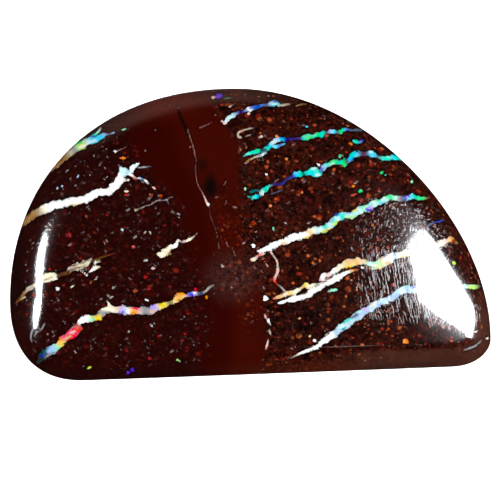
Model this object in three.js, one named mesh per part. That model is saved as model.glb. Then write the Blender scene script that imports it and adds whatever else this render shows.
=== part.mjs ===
// A polished boulder opal cabochon: one solid half-moon stone with a flat lapped back,
// a steep girdle wall, a rolled shoulder and a low crown that falls away at its right end.
// Millimetres, +Z up. The origin is the middle of the stone's box, on the flat back.
// The straight side of the half moon faces -Y.
import * as THREE from "three";

// Driving dimensions
const THICKNESS = 6.2;

// Outline, seen from above: a straight side, two rounded corners and one long arch.
// Each handle is the length of a curve's tangent at that point.
const STRAIGHT_LEFT = { x: -11.0, y: -9.7, handle: 3.2 };
const STRAIGHT_RIGHT = { x: 13.4, y: -8.8, handle: 1.9 };
const RIGHT_END = { x: 16.0, y: -7.0, below: 0.6, above: 7.6 };
const ARCH_TOP = { x: -1.0, y: 9.7, right: 8.9, left: 9.5 };
const LEFT_END = { x: -16.0, y: -4.4, above: 8.0, below: 3.4 };

// Crown: a low dome, with a broader slope ground into the right end
const CROWN_PEAK = { x: -2.0, y: 0.0 };
const CROWN_RADIUS_ALONG = 75;
const CROWN_RADIUS_ACROSS = 45;
const END_SLOPE = { heading: 15, start: 8.5, length: 6.0, drop: 0.9 };

// Shoulder: the rolled edge between the crown and the wall
const SHOULDER_LEFT = 3.0;
const SHOULDER_RIGHT = 1.8;
const SHOULDER_STRAIGHT_SIDE = 1.7;
const SHOULDER_CHANGE_X = [-12, 12];
const SHOULDER_CHANGE_Y = [-4, -8];

// Wall: leans in a little towards the back, and its lower edge is eased
const WALL_LEAN_DEG = 5;
const BACK_EDGE_RADIUS = 0.6;

// Facets
const SPOKES = 120;
const CROWN_RINGS = 18;
const CROWN_RING_CROWDING = 1.7;
const WALL_RINGS = 2;
const BACK_EDGE_RINGS = 3;
const OUTLINE_STEPS = 480;

function outlineShape() {
  const along = new THREE.Vector2(
    STRAIGHT_RIGHT.x - STRAIGHT_LEFT.x,
    STRAIGHT_RIGHT.y - STRAIGHT_LEFT.y,
  ).normalize();
  const shape = new THREE.Shape();
  shape.moveTo(STRAIGHT_LEFT.x, STRAIGHT_LEFT.y);
  shape.lineTo(STRAIGHT_RIGHT.x, STRAIGHT_RIGHT.y);
  shape.bezierCurveTo(
    STRAIGHT_RIGHT.x + along.x * STRAIGHT_RIGHT.handle,
    STRAIGHT_RIGHT.y + along.y * STRAIGHT_RIGHT.handle,
    RIGHT_END.x,
    RIGHT_END.y - RIGHT_END.below,
    RIGHT_END.x,
    RIGHT_END.y,
  );
  shape.bezierCurveTo(
    RIGHT_END.x,
    RIGHT_END.y + RIGHT_END.above,
    ARCH_TOP.x + ARCH_TOP.right,
    ARCH_TOP.y,
    ARCH_TOP.x,
    ARCH_TOP.y,
  );
  shape.bezierCurveTo(
    ARCH_TOP.x - ARCH_TOP.left,
    ARCH_TOP.y,
    LEFT_END.x,
    LEFT_END.y + LEFT_END.above,
    LEFT_END.x,
    LEFT_END.y,
  );
  shape.bezierCurveTo(
    LEFT_END.x,
    LEFT_END.y - LEFT_END.below,
    STRAIGHT_LEFT.x - along.x * STRAIGHT_LEFT.handle,
    STRAIGHT_LEFT.y - along.y * STRAIGHT_LEFT.handle,
    STRAIGHT_LEFT.x,
    STRAIGHT_LEFT.y,
  );
  return shape;
}

// Equally spaced points round the outline, anticlockwise, the first not repeated at the end.
function outlinePoints(count) {
  return outlineShape().getSpacedPoints(count).slice(0, -1);
}

// The outward normal at each point, from the chord between its two neighbours.
function outwardNormals(points) {
  return points.map((_, i) => {
    const before = points[(i + points.length - 1) % points.length];
    const after = points[(i + 1) % points.length];
    return new THREE.Vector2(after.y - before.y, before.x - after.x).normalize();
  });
}

const FINE_OUTLINE = outlinePoints(OUTLINE_STEPS);

// How far a point inside the outline is from the nearest stretch of it.
function edgeDistance(x, y) {
  let nearest = Infinity;
  FINE_OUTLINE.forEach((a, i) => {
    const b = FINE_OUTLINE[(i + 1) % FINE_OUTLINE.length];
    const chord = { x: b.x - a.x, y: b.y - a.y };
    const share = ((x - a.x) * chord.x + (y - a.y) * chord.y) / (chord.x ** 2 + chord.y ** 2);
    const t = THREE.MathUtils.clamp(share, 0, 1);
    nearest = Math.min(nearest, Math.hypot(x - a.x - t * chord.x, y - a.y - t * chord.y));
  });
  return nearest;
}

// 0 before the range, 1 after it, and an S curve between, for ranges that rise or fall.
function ease(value, [from, to]) {
  const t = THREE.MathUtils.clamp((value - from) / (to - from), 0, 1);
  return t * t * (3 - 2 * t);
}

function shoulderRadius(x, y) {
  const alongStone = THREE.MathUtils.lerp(SHOULDER_LEFT, SHOULDER_RIGHT, ease(x, SHOULDER_CHANGE_X));
  return THREE.MathUtils.lerp(alongStone, SHOULDER_STRAIGHT_SIDE, ease(y, SHOULDER_CHANGE_Y));
}

// The crown's height: the dome, less the slope at the right end, less a quarter round at the edge.
function crownHeight(x, y, fromEdge) {
  const dome =
    (x - CROWN_PEAK.x) ** 2 / (2 * CROWN_RADIUS_ALONG) + (y - CROWN_PEAK.y) ** 2 / (2 * CROWN_RADIUS_ACROSS);
  const heading = THREE.MathUtils.degToRad(END_SLOPE.heading);
  const past = Math.max(0, x * Math.cos(heading) + y * Math.sin(heading) - END_SLOPE.start);
  const endSlope = END_SLOPE.drop * (past / END_SLOPE.length) ** 2;
  const radius = shoulderRadius(x, y);
  const inFromRound = Math.max(0, radius - fromEdge);
  const shoulder = radius - Math.sqrt(radius ** 2 - inFromRound ** 2);
  return THICKNESS - dome - endSlope - shoulder;
}

// One ring of the crown: the outline drawn in towards the middle by a share from 0 to 1.
function crownRing(rim, share) {
  return rim.map((p) => {
    const x = p.x * (1 - share);
    const y = p.y * (1 - share);
    return [x, y, crownHeight(x, y, share === 0 ? 0 : edgeDistance(x, y))];
  });
}

// One ring of the wall, a share of the way down from the girdle to the eased edge of the back.
function wallRing(rim, normals, girdle, share) {
  return rim.map((p, i) => {
    const z = THREE.MathUtils.lerp(girdle[i], BACK_EDGE_RADIUS, share);
    const inset = wallInset(girdle[i], z);
    return [p.x - normals[i].x * inset, p.y - normals[i].y * inset, z];
  });
}

function wallInset(girdleHeight, z) {
  return (girdleHeight - z) * Math.tan(THREE.MathUtils.degToRad(WALL_LEAN_DEG));
}

// One ring of the eased lower edge, at an angle that grows from the wall to the back.
function backEdgeRing(rim, normals, girdle, angle) {
  return rim.map((p, i) => {
    const inset = wallInset(girdle[i], BACK_EDGE_RADIUS) + BACK_EDGE_RADIUS * (1 - Math.cos(angle));
    const z = BACK_EDGE_RADIUS * (1 - Math.sin(angle));
    return [p.x - normals[i].x * inset, p.y - normals[i].y * inset, z];
  });
}

// Rings of points from the crown's peak down to the back, closed by a fan at each end.
function closedRings(peak, rings, backMiddle) {
  const positions = [...peak, ...rings.flat(2), ...backMiddle];
  const indices = [];
  const at = (ring, spoke) => 1 + ring * SPOKES + (spoke % SPOKES);
  const last = rings.length - 1;
  const backPoint = 1 + rings.length * SPOKES;
  for (let s = 0; s < SPOKES; s++) {
    indices.push(0, at(0, s), at(0, s + 1));
    for (let r = 0; r < last; r++) {
      indices.push(at(r, s), at(r + 1, s), at(r + 1, s + 1));
      indices.push(at(r, s), at(r + 1, s + 1), at(r, s + 1));
    }
    indices.push(at(last, s + 1), at(last, s), backPoint);
  }
  const geometry = new THREE.BufferGeometry();
  geometry.setAttribute("position", new THREE.Float32BufferAttribute(positions, 3));
  geometry.setIndex(indices);
  geometry.computeVertexNormals();
  return geometry;
}

function stoneGeometry() {
  const rim = outlinePoints(SPOKES);
  const normals = outwardNormals(rim);
  const girdle = rim.map((p) => crownHeight(p.x, p.y, 0));
  const rings = [];
  for (let k = CROWN_RINGS - 1; k >= 0; k--) {
    rings.push(crownRing(rim, (k / CROWN_RINGS) ** CROWN_RING_CROWDING));
  }
  for (let k = 1; k <= WALL_RINGS; k++) {
    rings.push(wallRing(rim, normals, girdle, k / WALL_RINGS));
  }
  for (let k = 1; k <= BACK_EDGE_RINGS; k++) {
    rings.push(backEdgeRing(rim, normals, girdle, (k / BACK_EDGE_RINGS) * (Math.PI / 2)));
  }
  const peakHeight = crownHeight(0, 0, edgeDistance(0, 0));
  return closedRings([0, 0, peakHeight], rings, [0, 0, 0]);
}

const polishedStone = new THREE.MeshStandardMaterial({ color: 0x3a140c, roughness: 0.12, metalness: 0 });

const boulderOpal = new THREE.Mesh(stoneGeometry(), polishedStone);
boulderOpal.name = "boulder_opal";

const cabochon = new THREE.Group();
cabochon.add(boulderOpal);

export default cabochon;
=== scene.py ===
"""A polished boulder opal cabochon, finished for its studio picture.

One half-moon stone: dark ironstone crossed by thin seams of opal, with a clear red-brown band
through its middle. Places on the stone are in millimetres, from the middle of its outline.
"""
import math

import bpy
import numpy as np
from bpy.props import FloatProperty, FloatVectorProperty, PointerProperty
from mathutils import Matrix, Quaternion, Vector


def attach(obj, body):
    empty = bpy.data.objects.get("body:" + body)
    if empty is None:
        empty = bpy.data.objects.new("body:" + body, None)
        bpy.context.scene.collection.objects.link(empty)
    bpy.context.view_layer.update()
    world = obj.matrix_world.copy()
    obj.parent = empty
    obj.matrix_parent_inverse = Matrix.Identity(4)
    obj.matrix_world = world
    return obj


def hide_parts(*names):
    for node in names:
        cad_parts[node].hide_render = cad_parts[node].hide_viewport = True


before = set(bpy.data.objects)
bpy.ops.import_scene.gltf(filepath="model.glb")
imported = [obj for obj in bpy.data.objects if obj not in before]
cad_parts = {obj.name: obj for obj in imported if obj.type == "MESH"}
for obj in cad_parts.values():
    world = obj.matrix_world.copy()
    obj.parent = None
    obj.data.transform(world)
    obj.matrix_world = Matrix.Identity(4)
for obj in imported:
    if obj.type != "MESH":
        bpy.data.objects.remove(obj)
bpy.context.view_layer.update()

bl_info = {
    "name": "Boulder Opal Cabochon",
    "version": (1, 0, 0),
    "blender": (4, 5, 0),
    "location": "View3D > Sidebar > Boulder Opal",
    "description": "Makes a polished boulder opal cabochon and its studio stage",
    "category": "Add Mesh",
}

NODE = "boulder_opal"
MM = 0.001

# Outline seen from above: a straight side, two rounded corners and one long arch.
# Each handle is the length of a curve's tangent at that point.
STRAIGHT_LEFT = np.array((-11.0, -9.7))
STRAIGHT_LEFT_HANDLE = 3.2
STRAIGHT_RIGHT = np.array((13.4, -8.8))
STRAIGHT_RIGHT_HANDLE = 1.9
RIGHT_END = np.array((16.0, -7.0))
RIGHT_END_HANDLES = {"below": 0.6, "above": 7.6}
ARCH_TOP = np.array((-1.0, 9.7))
ARCH_TOP_HANDLES = {"right": 8.9, "left": 9.5}
LEFT_END = np.array((-16.0, -4.4))
LEFT_END_HANDLES = {"above": 8.0, "below": 3.4}
OUTLINE_STEPS = 400

# Crown: a low dome about its peak, with a broader slope ground into the right end
CROWN_PEAK = (-2.0, 0.0)
END_SLOPE_HEADING = math.radians(15)
END_SLOPE_START = 8.5
END_SLOPE_LENGTH = 6.0
END_SLOPE_DROP = 0.9
SHOULDER_CHANGE_X = (-12.0, 12.0)
SHOULDER_CHANGE_Y = (-4.0, -8.0)

# Hand lapping leaves slow waves on the crown: length of a wave, its heading, its share of the height
LAPPING_WAVES = ((5.2, 20, 0.5), (3.7, 75, 0.3), (2.9, 130, 0.2))

# Grid of the stone's skin: rings from the crown's middle to its rim, how they crowd there, the rings below
# it, the rings of the back, and the back grid's size as a share of the back's
CROWN_RINGS = 132
RIM_CROWDING = 12
WALL_RINGS = 9
BACK_EDGE_RINGS = 5
BACK_RINGS = CROWN_RINGS // 3
BACK_INSET = 0.98

# Seams are thin sheets that dip through the stone: sideways shift for each millimetre of depth
SEAM_DIP = (-0.25, 0.45)

# How far from a seam its gap is kept, the half width kept where none is near, steps between two of its
# points, how soft a tint's edge is, and a spark's width at its ends as a share of its middle
SEAM_REACH = 0.9
NO_SEAM_SIZE = 0.1
SEAM_CURVE_STEPS = 4
TINT_SOFTNESS = 0.035
SPARK_TIP = 0.35

# Edges of the clear band, from the arch down to the straight side
BAND_LEFT_EDGE = (
    (-8.7, 8.6), (-8.2, 6.9), (-7.7, 5.3), (-6.6, 4.1), (-5.2, 2.6), (-4.7, 1.3),
    (-4.2, -0.1), (-4.1, -1.4), (-3.2, -3.4), (-2.8, -5.7), (-3.2, -7.7), (-3.3, -9.5),
)
BAND_RIGHT_EDGE = (
    (-2.8, 9.6), (-1.9, 7.7), (-0.8, 5.9), (-0.7, 3.6), (-0.7, 1.9), (-0.7, -0.1),
    (-0.2, -1.6), (0.5, -3.1), (0.9, -4.4), (1.0, -5.7), (1.2, -7.1), (1.0, -7.9), (0.5, -9.4),
)
BAND_LEFT_SOFTNESS = 0.7
BAND_RIGHT_SOFTNESS = 0.3

# From where to where across the band it turns from dark to red
BAND_REDDENS = (0.2, 0.7)

# Smoky patches, and the last one painted shade along the steep left rim: middle, half width, half height,
# darkness. Each fades between these shares of its half size
PATCH_FADE = (1.3, 0.2)
SMOKE_AND_SHADE_PATCHES = (
    (-2.65, 3.15, 0.55, 1.0, 1.0),
    (-3.15, 4.6, 0.4, 0.5, 0.6),
    (-1.9, 3.0, 0.4, 0.4, 0.4),
    (3.2, -5.6, 3.2, 2.2, 0.5),
    # Painted shade: the steep left rim darkened
    (-15.7, -2.6, 1.0, 4.5, 0.6),
)

# A veil of dust across the band: middle, half width, half height, and how much dust and flecks it holds
DUST_VEIL = (-1.2, -2.8, 2.0, 1.8)
VEIL_DUST = 0.5
VEIL_FLECKS = 0.9

# Where painted light glows red-brown along the rim of the straight side, as if light came through the stone:
# from which x, and how far in from the edge
PAINTED_GLOW_START_X = (-4.0, 6.0)
PAINTED_GLOW_DEPTH = (0.25, 1.0)

# The lip round the right corner, painted a lighter brown where its shoulder catches the light, and the share
# of flecks that it and the painted glow along the straight side lose
LIP_START_X = (4.0, 9.0)
LIP_START_Y = (-3.0, -5.5)
LIP_DEPTH = (1.1, 1.4)
RIM_CLEARING = 0.8

# Where the band's rim at the arch is lit from behind: how far in, how far down the wall, from which y
LIT_EDGE_DEPTH = (0.0, 2.2)
LIT_EDGE_FADE = (0.0, 2.4)
LIT_EDGE_Y = (2.0, 6.0)
LIT_EDGE_STRENGTH = 0.6

# Flecks in the rock: their share at the left, at its plain rim, and among curled scratches
LEFT_FLECKS = 0.75
RIM_FLECKS = 0.1
PLAIN_RIM_DEPTH = (0.5, 1.5)
SWIRL_FLECKS = 0.5

# Where the clear band holds faint dust after all: how clear it stays, between which y, and how far across
CLEAREST_LOW = 0.6
BAND_DUST_TOP = (3.6, 1.4)
BAND_DUST_FOOT = (-6.6, -5.0)
BAND_DUST_ACROSS = (0.45, 0.7)

# Base colours, as display values, with what each one is
PALETTE = {
    "white": ((0.752, 0.746, 0.731), "thick milky opal"),
    "cream": ((0.725, 0.695, 0.602), "creamy opal"),
    "beige": ((0.555, 0.515, 0.441), "dull opal near the rim"),
    "tan": ((0.441, 0.333, 0.219), "stained opal at the rim"),
    "brown": ((0.247, 0.150, 0.082), "iron stain in a seam"),
    "grey": ((0.441, 0.430, 0.435), "grey opal"),
    "haze": ((0.259, 0.207, 0.196), "dusty grains"),
    "slate": ((0.236, 0.259, 0.327), "blue-grey opal"),
    "pale_cyan": ((0.589, 0.681, 0.681), "pale cyan fire"),
    "cyan": ((0.213, 0.618, 0.698), "cyan fire"),
    "teal": ((0.145, 0.629, 0.555), "teal fire"),
    "dark_teal": ((0.048, 0.270, 0.276), "dim teal fire"),
    "green": ((0.150, 0.624, 0.361), "green fire"),
    "moss": ((0.122, 0.327, 0.219), "dim green fire"),
    "mint": ((0.458, 0.669, 0.561), "mint fire"),
    "pale_green": ((0.504, 0.658, 0.413), "pale green fire"),
    "yellow_green": ((0.572, 0.658, 0.281), "citron fire"),
    "olive": ((0.304, 0.304, 0.173), "dull olive opal"),
    "yellow": ((0.703, 0.606, 0.281), "yellow fire"),
    "gold": ((0.681, 0.572, 0.367), "gold fire"),
    "peach": ((0.698, 0.567, 0.430), "peach fire"),
    "orange": ((0.683, 0.378, 0.162), "orange fire"),
    "salmon": ((0.686, 0.327, 0.293), "salmon fire"),
    "rust": ((0.413, 0.150, 0.059), "rust grains"),
    "red": ((0.527, 0.122, 0.059), "red grains"),
    "crimson": ((0.264, 0.042, 0.053), "dark red grains"),
    "pink": ((0.669, 0.544, 0.521), "pink opal"),
    "rose": ((0.384, 0.264, 0.247), "dull pink hairlines"),
    "lavender": ((0.572, 0.521, 0.669), "lavender fire"),
    "violet": ((0.293, 0.173, 0.612), "violet fire"),
    "blue": ((0.207, 0.304, 0.572), "blue fire"),
    "deep_blue": ((0.122, 0.167, 0.401), "deep blue fire"),
    "indigo": ((0.150, 0.139, 0.321), "dim indigo fire"),
    "pale_blue": ((0.452, 0.549, 0.686), "pale blue fire"),
    # Soot and shade: dark smears, and painted shade beside the crack and along the left rim
    "soot": ((0.022, 0.009, 0.007), "dark shadow of a crack"),
    "left_ground": ((0.088, 0.009, 0.005), "ironstone at the left"),
    "right_ground": ((0.110, 0.020, 0.009), "ironstone at the right"),
    "band_dark": ((0.123, 0.005, 0.000), "dark side of the clear band"),
    "band_red": ((0.157, 0.014, 0.002), "red side of the clear band"),
    # Painted light: this red-brown stands for light coming through the stone's rim along the straight side
    "painted_rim_glow": ((0.211, 0.057, 0.015), "red-brown glow along the straight side"),
    "red_patch": ((0.205, 0.022, 0.012), "red stain in the ironstone"),
    "dust": ((0.179, 0.115, 0.102), "grey dust in the ironstone"),
    "ember": ((0.595, 0.247, 0.122), "glowing orange grains"),
    "clay": ((0.413, 0.264, 0.224), "pale clay grains"),
    # Painted light: the lighter brown on the shoulder round the right corner, where the rim catches the
    # light
    "lip": ((0.184, 0.091, 0.065), "smooth brown lip at the right corner"),
    "amber": ((0.703, 0.487, 0.173), "amber fire"),
    "coral": ((0.698, 0.259, 0.270), "coral fire"),
    "scarlet": ((0.646, 0.099, 0.105), "scarlet fire"),
    "dusk": ((0.099, 0.139, 0.133), "dim end of a seam"),
    "ice": ((0.544, 0.624, 0.669), "icy blue opal"),
    "lit_edge": ((0.258, 0.049, 0.014), "lit edge of the clear band"),
}

# Opal seams, with a few painted marks laid in the same way: glints at the left highlight's foot, a
# reflection at the right corner and the crack's shadow. Each point: x, y, width and colour
SEAMS = {
    "arch_left": (
        (-14.2, 3.5, 0.06, "brown"), (-13.7, 4.0, 0.16, "brown"), (-13.15, 4.4, 0.28, "tan"),
        (-12.3, 5.1, 0.4, "tan"), (-11.9, 5.45, 0.46, "beige"), (-11.7, 5.65, 0.46, "grey"),
        (-11.5, 5.85, 0.52, "pale_green"), (-11.15, 5.95, 0.6, "yellow_green"),
        (-10.85, 6.15, 0.52, "pale_cyan"), (-10.5, 6.25, 0.5, "cyan"), (-9.9, 6.45, 0.4, "cyan"),
        (-9.7, 6.6, 0.2, "pale_blue"), (-9.35, 6.65, 0.12, "slate"), (-9.05, 6.75, 0.12, "pale_blue"),
    ),
    "arch_left_upper": (
        (-10.65, 6.45, 0.16, "slate"), (-10.35, 6.6, 0.16, "teal"), (-10.1, 6.8, 0.16, "mint"),
        (-9.95, 7.05, 0.12, "grey"),
    ),
    "left_white": (
        (-15.1, 0.75, 0.4, "tan"), (-14.3, 1.35, 0.46, "tan"), (-13.9, 1.55, 0.52, "beige"),
        (-13.65, 1.7, 0.6, "cream"), (-13.35, 1.75, 0.56, "white"), (-12.9, 1.95, 0.56, "white"),
        (-11.9, 2.15, 0.52, "white"), (-10.95, 2.35, 0.52, "white"), (-10.05, 2.8, 0.5, "white"),
        (-9.35, 2.85, 0.46, "white"), (-8.75, 3.45, 0.6, "white"), (-8.6, 3.75, 0.5, "white"),
        (-8.45, 4.05, 0.46, "pale_cyan"), (-8.4, 4.25, 0.4, "pale_cyan"),
    ),
    "left_white_up": (
        (-8.45, 4.15, 0.32, "pale_cyan"), (-8.55, 4.35, 0.28, "pale_cyan"), (-8.65, 4.5, 0.12, "grey"),
        (-8.75, 4.65, 0.08, "slate"),
    ),
    "left_white_fork": (
        (-8.45, 4.05, 0.4, "pale_cyan"), (-7.95, 4.15, 0.3, "pale_cyan"), (-7.8, 4.4, 0.3, "white"),
        (-7.6, 4.55, 0.28, "pale_cyan"), (-7.45, 4.65, 0.2, "white"), (-7.35, 4.7, 0.08, "grey"),
    ),
    "left_white_thread": (
        (-7.4, 4.4, 0.1, "grey"), (-7.05, 4.45, 0.12, "grey"), (-6.6, 4.5, 0.08, "slate"),
    ),
    "left_white_lower": (
        (-8.15, 4.05, 0.2, "pale_cyan"), (-7.9, 3.95, 0.16, "white"), (-7.75, 3.85, 0.16, "pink"),
        (-7.55, 3.65, 0.16, "rust"),
    ),
    "left_white_bead": (
        (-7.4, 3.75, 0.12, "white"), (-7.25, 3.7, 0.16, "pale_blue"), (-7.1, 3.65, 0.08, "slate"),
        (-6.95, 3.55, 0.16, "white"), (-6.8, 3.4, 0.16, "grey"),
    ),
    "grey_thread": (
        (-7.6, 1.6, 0.2, "beige"), (-7.35, 1.7, 0.08, "rose"), (-7.1, 1.8, 0.1, "grey"),
        (-6.9, 1.9, 0.08, "rose"), (-6.65, 1.95, 0.08, "grey"), (-6.35, 2.15, 0.12, "rose"),
        (-6.1, 2.25, 0.08, "grey"), (-5.85, 2.25, 0.1, "haze"), (-5.55, 2.3, 0.08, "grey"),
        (-5.35, 2.45, 0.08, "rose"), (-5.1, 2.45, 0.06, "slate"),
    ),
    "grey_thread_tail": (
        (-5.5, 2.25, 0.08, "grey"), (-5.4, 2.0, 0.08, "slate"),
    ),
    "buff_rim": (
        (-15.55, -4.55, 0.12, "brown"), (-15.3, -4.2, 0.16, "brown"), (-14.95, -3.85, 0.2, "tan"),
        (-14.7, -3.6, 0.28, "beige"), (-14.4, -3.45, 0.24, "beige"), (-13.95, -3.1, 0.32, "cream"),
        (-13.7, -2.95, 0.52, "cream"), (-13.1, -2.75, 0.56, "cream"), (-12.95, -2.6, 0.28, "grey"),
    ),
    "buff_rim_lower": (
        (-15.55, -4.5, 0.08, "rust"), (-15.25, -4.3, 0.12, "tan"), (-14.95, -4.15, 0.12, "beige"),
    ),
    "buff_gap": (
        (-12.85, -2.75, 0.12, "brown"), (-12.5, -2.65, 0.28, "brown"), (-12.05, -2.55, 0.24, "brown"),
    ),
    "buff_middle": (
        (-12.05, -2.3, 0.12, "beige"), (-11.85, -2.25, 0.36, "beige"), (-11.55, -2.15, 0.44, "beige"),
        (-11.3, -2.1, 0.5, "cream"), (-11.05, -1.95, 0.44, "beige"), (-10.8, -1.85, 0.3, "cream"),
        (-10.65, -1.7, 0.16, "beige"), (-10.45, -1.55, 0.08, "grey"),
    ),
    "buff_fork": (
        (-11.25, -2.4, 0.08, "grey"), (-10.95, -2.6, 0.12, "cream"), (-10.8, -2.75, 0.12, "white"),
    ),
    "buff_dash_low": (
        (-10.65, -2.5, 0.12, "white"), (-10.45, -2.35, 0.2, "white"), (-10.25, -2.2, 0.24, "cream"),
        (-10.0, -2.15, 0.12, "beige"),
    ),
    "buff_dash_high": (
        (-10.35, -2.05, 0.12, "grey"), (-10.25, -1.85, 0.2, "cream"), (-10.05, -1.8, 0.16, "beige"),
        (-9.9, -1.8, 0.08, "grey"),
    ),
    "buff_dash_tail": (
        (-10.25, -3.0, 0.12, "beige"), (-10.1, -2.75, 0.12, "grey"),
    ),
    "cream_wedge": (
        (-6.05, -1.25, 0.24, "cream"), (-5.9, -1.35, 0.46, "cream"), (-5.7, -1.25, 0.46, "cream"),
        (-5.3, -0.85, 0.32, "cream"), (-5.05, -0.75, 0.32, "white"), (-4.9, -0.6, 0.28, "white"),
        (-4.8, -0.4, 0.16, "cream"), (-4.6, -0.5, 0.12, "grey"), (-4.35, -0.45, 0.16, "pink"),
        (-4.05, -0.35, 0.16, "cream"), (-3.75, -0.15, 0.1, "beige"), (-3.5, 0.1, 0.06, "grey"),
    ),
    "cream_wedge_fork": (
        (-5.6, -1.1, 0.2, "beige"), (-5.35, -1.3, 0.2, "tan"),
    ),
    "rainbow": (
        (-14.1, -8.45, 0.24, "dusk"), (-13.85, -8.15, 0.44, "dusk"), (-13.5, -7.85, 0.6, "dark_teal"),
        (-13.15, -7.65, 0.56, "pale_blue"), (-12.9, -7.45, 0.52, "mint"),
        (-12.65, -7.3, 0.46, "yellow_green"), (-12.5, -7.15, 0.46, "yellow"), (-12.35, -6.9, 0.46, "coral"),
        (-11.5, -6.3, 0.64, "coral"), (-11.35, -6.05, 0.3, "grey"), (-11.3, -5.75, 0.32, "white"),
        (-10.8, -5.55, 0.46, "white"), (-10.55, -5.55, 0.44, "pale_green"), (-10.25, -5.5, 0.46, "yellow"),
        (-10.05, -5.4, 0.5, "yellow"), (-9.85, -5.2, 0.44, "grey"), (-9.6, -5.0, 0.5, "cream"),
        (-9.0, -4.95, 0.44, "cream"), (-8.75, -4.9, 0.44, "pink"), (-8.55, -4.95, 0.52, "lavender"),
        (-8.35, -5.05, 0.44, "lavender"), (-8.15, -5.05, 0.6, "white"), (-7.9, -5.05, 0.56, "peach"),
        (-7.65, -5.05, 0.52, "peach"), (-7.35, -5.05, 0.46, "pink"), (-7.05, -5.05, 0.5, "grey"),
        (-6.75, -5.05, 0.44, "grey"), (-6.45, -4.95, 0.5, "lavender"), (-6.25, -4.85, 0.46, "lavender"),
        (-5.95, -4.75, 0.4, "yellow"), (-5.65, -4.65, 0.32, "yellow"), (-5.3, -4.5, 0.28, "olive"),
        (-5.05, -4.4, 0.32, "gold"), (-4.8, -4.2, 0.44, "amber"), (-4.55, -4.05, 0.5, "amber"),
        (-4.3, -4.1, 0.22, "peach"), (-4.1, -4.0, 0.28, "violet"), (-3.85, -3.95, 0.28, "violet"),
        (-3.7, -3.9, 0.32, "lavender"), (-3.45, -3.95, 0.2, "slate"), (-3.15, -3.85, 0.2, "slate"),
        (-2.95, -3.75, 0.12, "beige"), (-2.75, -3.55, 0.16, "grey"), (-2.45, -3.35, 0.12, "olive"),
    ),
    "rainbow_spur": (
        (-9.3, -4.7, 0.16, "cream"), (-9.4, -4.55, 0.16, "cream"), (-9.55, -4.35, 0.12, "beige"),
    ),
    "right_top": (
        (-1.9, 7.5, 0.16, "pink"), (-1.7, 7.35, 0.24, "pink"), (-1.6, 7.55, 0.24, "pale_cyan"),
        (-1.2, 7.85, 0.28, "pale_cyan"), (-1.0, 7.95, 0.16, "pale_blue"), (-0.75, 8.1, 0.16, "indigo"),
        (-0.5, 8.15, 0.2, "deep_blue"), (-0.25, 8.25, 0.2, "pale_blue"), (-0.15, 8.3, 0.28, "white"),
        (0.1, 8.35, 0.28, "blue"), (0.75, 8.55, 0.2, "blue"), (1.1, 8.55, 0.2, "slate"),
        (1.3, 8.65, 0.28, "pale_blue"), (1.5, 8.7, 0.36, "cyan"), (1.75, 8.65, 0.32, "cyan"),
        (1.95, 8.55, 0.16, "beige"), (2.3, 8.6, 0.16, "beige"), (2.6, 8.65, 0.12, "tan"),
    ),
    "right_top_end": (
        (3.0, 8.5, 0.08, "tan"), (3.3, 8.6, 0.12, "tan"), (3.75, 8.65, 0.08, "brown"),
    ),
    "grey_curl": (
        (0.25, 7.05, 0.08, "slate"), (-0.1, 7.0, 0.1, "beige"), (-0.7, 6.8, 0.12, "beige"),
        (-0.85, 6.6, 0.12, "beige"), (-0.75, 6.45, 0.16, "beige"), (-0.6, 6.4, 0.08, "grey"),
    ),
    "grey_curl_dash": (
        (-0.3, 6.5, 0.1, "tan"), (0.05, 6.6, 0.08, "grey"),
    ),
    "teal_upper": (
        (-0.5, 5.1, 0.08, "dark_teal"), (-0.25, 5.3, 0.16, "teal"), (0.45, 5.5, 0.28, "teal"),
        (0.65, 5.5, 0.16, "dark_teal"), (0.9, 5.6, 0.24, "slate"), (1.15, 5.75, 0.28, "teal"),
        (1.3, 5.9, 0.28, "cyan"), (1.5, 6.1, 0.28, "pale_cyan"), (1.75, 6.25, 0.28, "pale_blue"),
        (2.05, 6.3, 0.24, "cyan"), (2.35, 6.25, 0.24, "deep_blue"), (2.65, 6.3, 0.2, "indigo"),
        (3.05, 6.35, 0.16, "indigo"), (3.35, 6.35, 0.16, "slate"), (3.55, 6.4, 0.32, "teal"),
        (3.85, 6.45, 0.36, "green"), (4.1, 6.5, 0.32, "teal"), (4.45, 6.6, 0.32, "green"),
        (4.65, 6.6, 0.32, "teal"), (4.8, 6.7, 0.28, "teal"), (5.05, 6.75, 0.16, "slate"),
        (5.3, 6.8, 0.24, "pale_blue"), (5.55, 6.8, 0.24, "cyan"), (5.75, 6.75, 0.2, "slate"),
        (5.95, 6.8, 0.28, "green"), (6.15, 6.9, 0.24, "teal"), (6.4, 6.95, 0.2, "blue"),
        (6.7, 6.9, 0.16, "slate"), (7.45, 6.95, 0.16, "slate"),
    ),
    "teal_upper_strand": (
        (-0.4, 4.7, 0.08, "tan"), (-0.05, 4.95, 0.12, "tan"), (0.3, 5.1, 0.12, "beige"),
        (0.6, 5.2, 0.16, "grey"), (0.85, 5.3, 0.2, "pale_cyan"), (1.0, 5.5, 0.24, "dark_teal"),
    ),
    "teal_upper_lower": (
        (1.4, 5.85, 0.16, "cyan"), (1.65, 5.8, 0.24, "cyan"), (1.95, 5.9, 0.16, "blue"),
        (2.25, 6.0, 0.12, "cyan"),
    ),
    "teal_middle": (
        (-0.15, 2.5, 0.12, "teal"), (0.05, 2.45, 0.16, "dark_teal"), (0.2, 2.45, 0.28, "teal"),
        (0.4, 2.5, 0.32, "cyan"), (0.6, 2.55, 0.2, "dark_teal"), (0.75, 2.75, 0.32, "pale_cyan"),
        (0.95, 2.95, 0.32, "teal"), (1.15, 3.15, 0.2, "teal"), (1.4, 3.25, 0.16, "slate"),
        (1.65, 3.35, 0.16, "indigo"), (1.95, 3.3, 0.14, "indigo"), (2.2, 3.4, 0.16, "deep_blue"),
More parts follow.
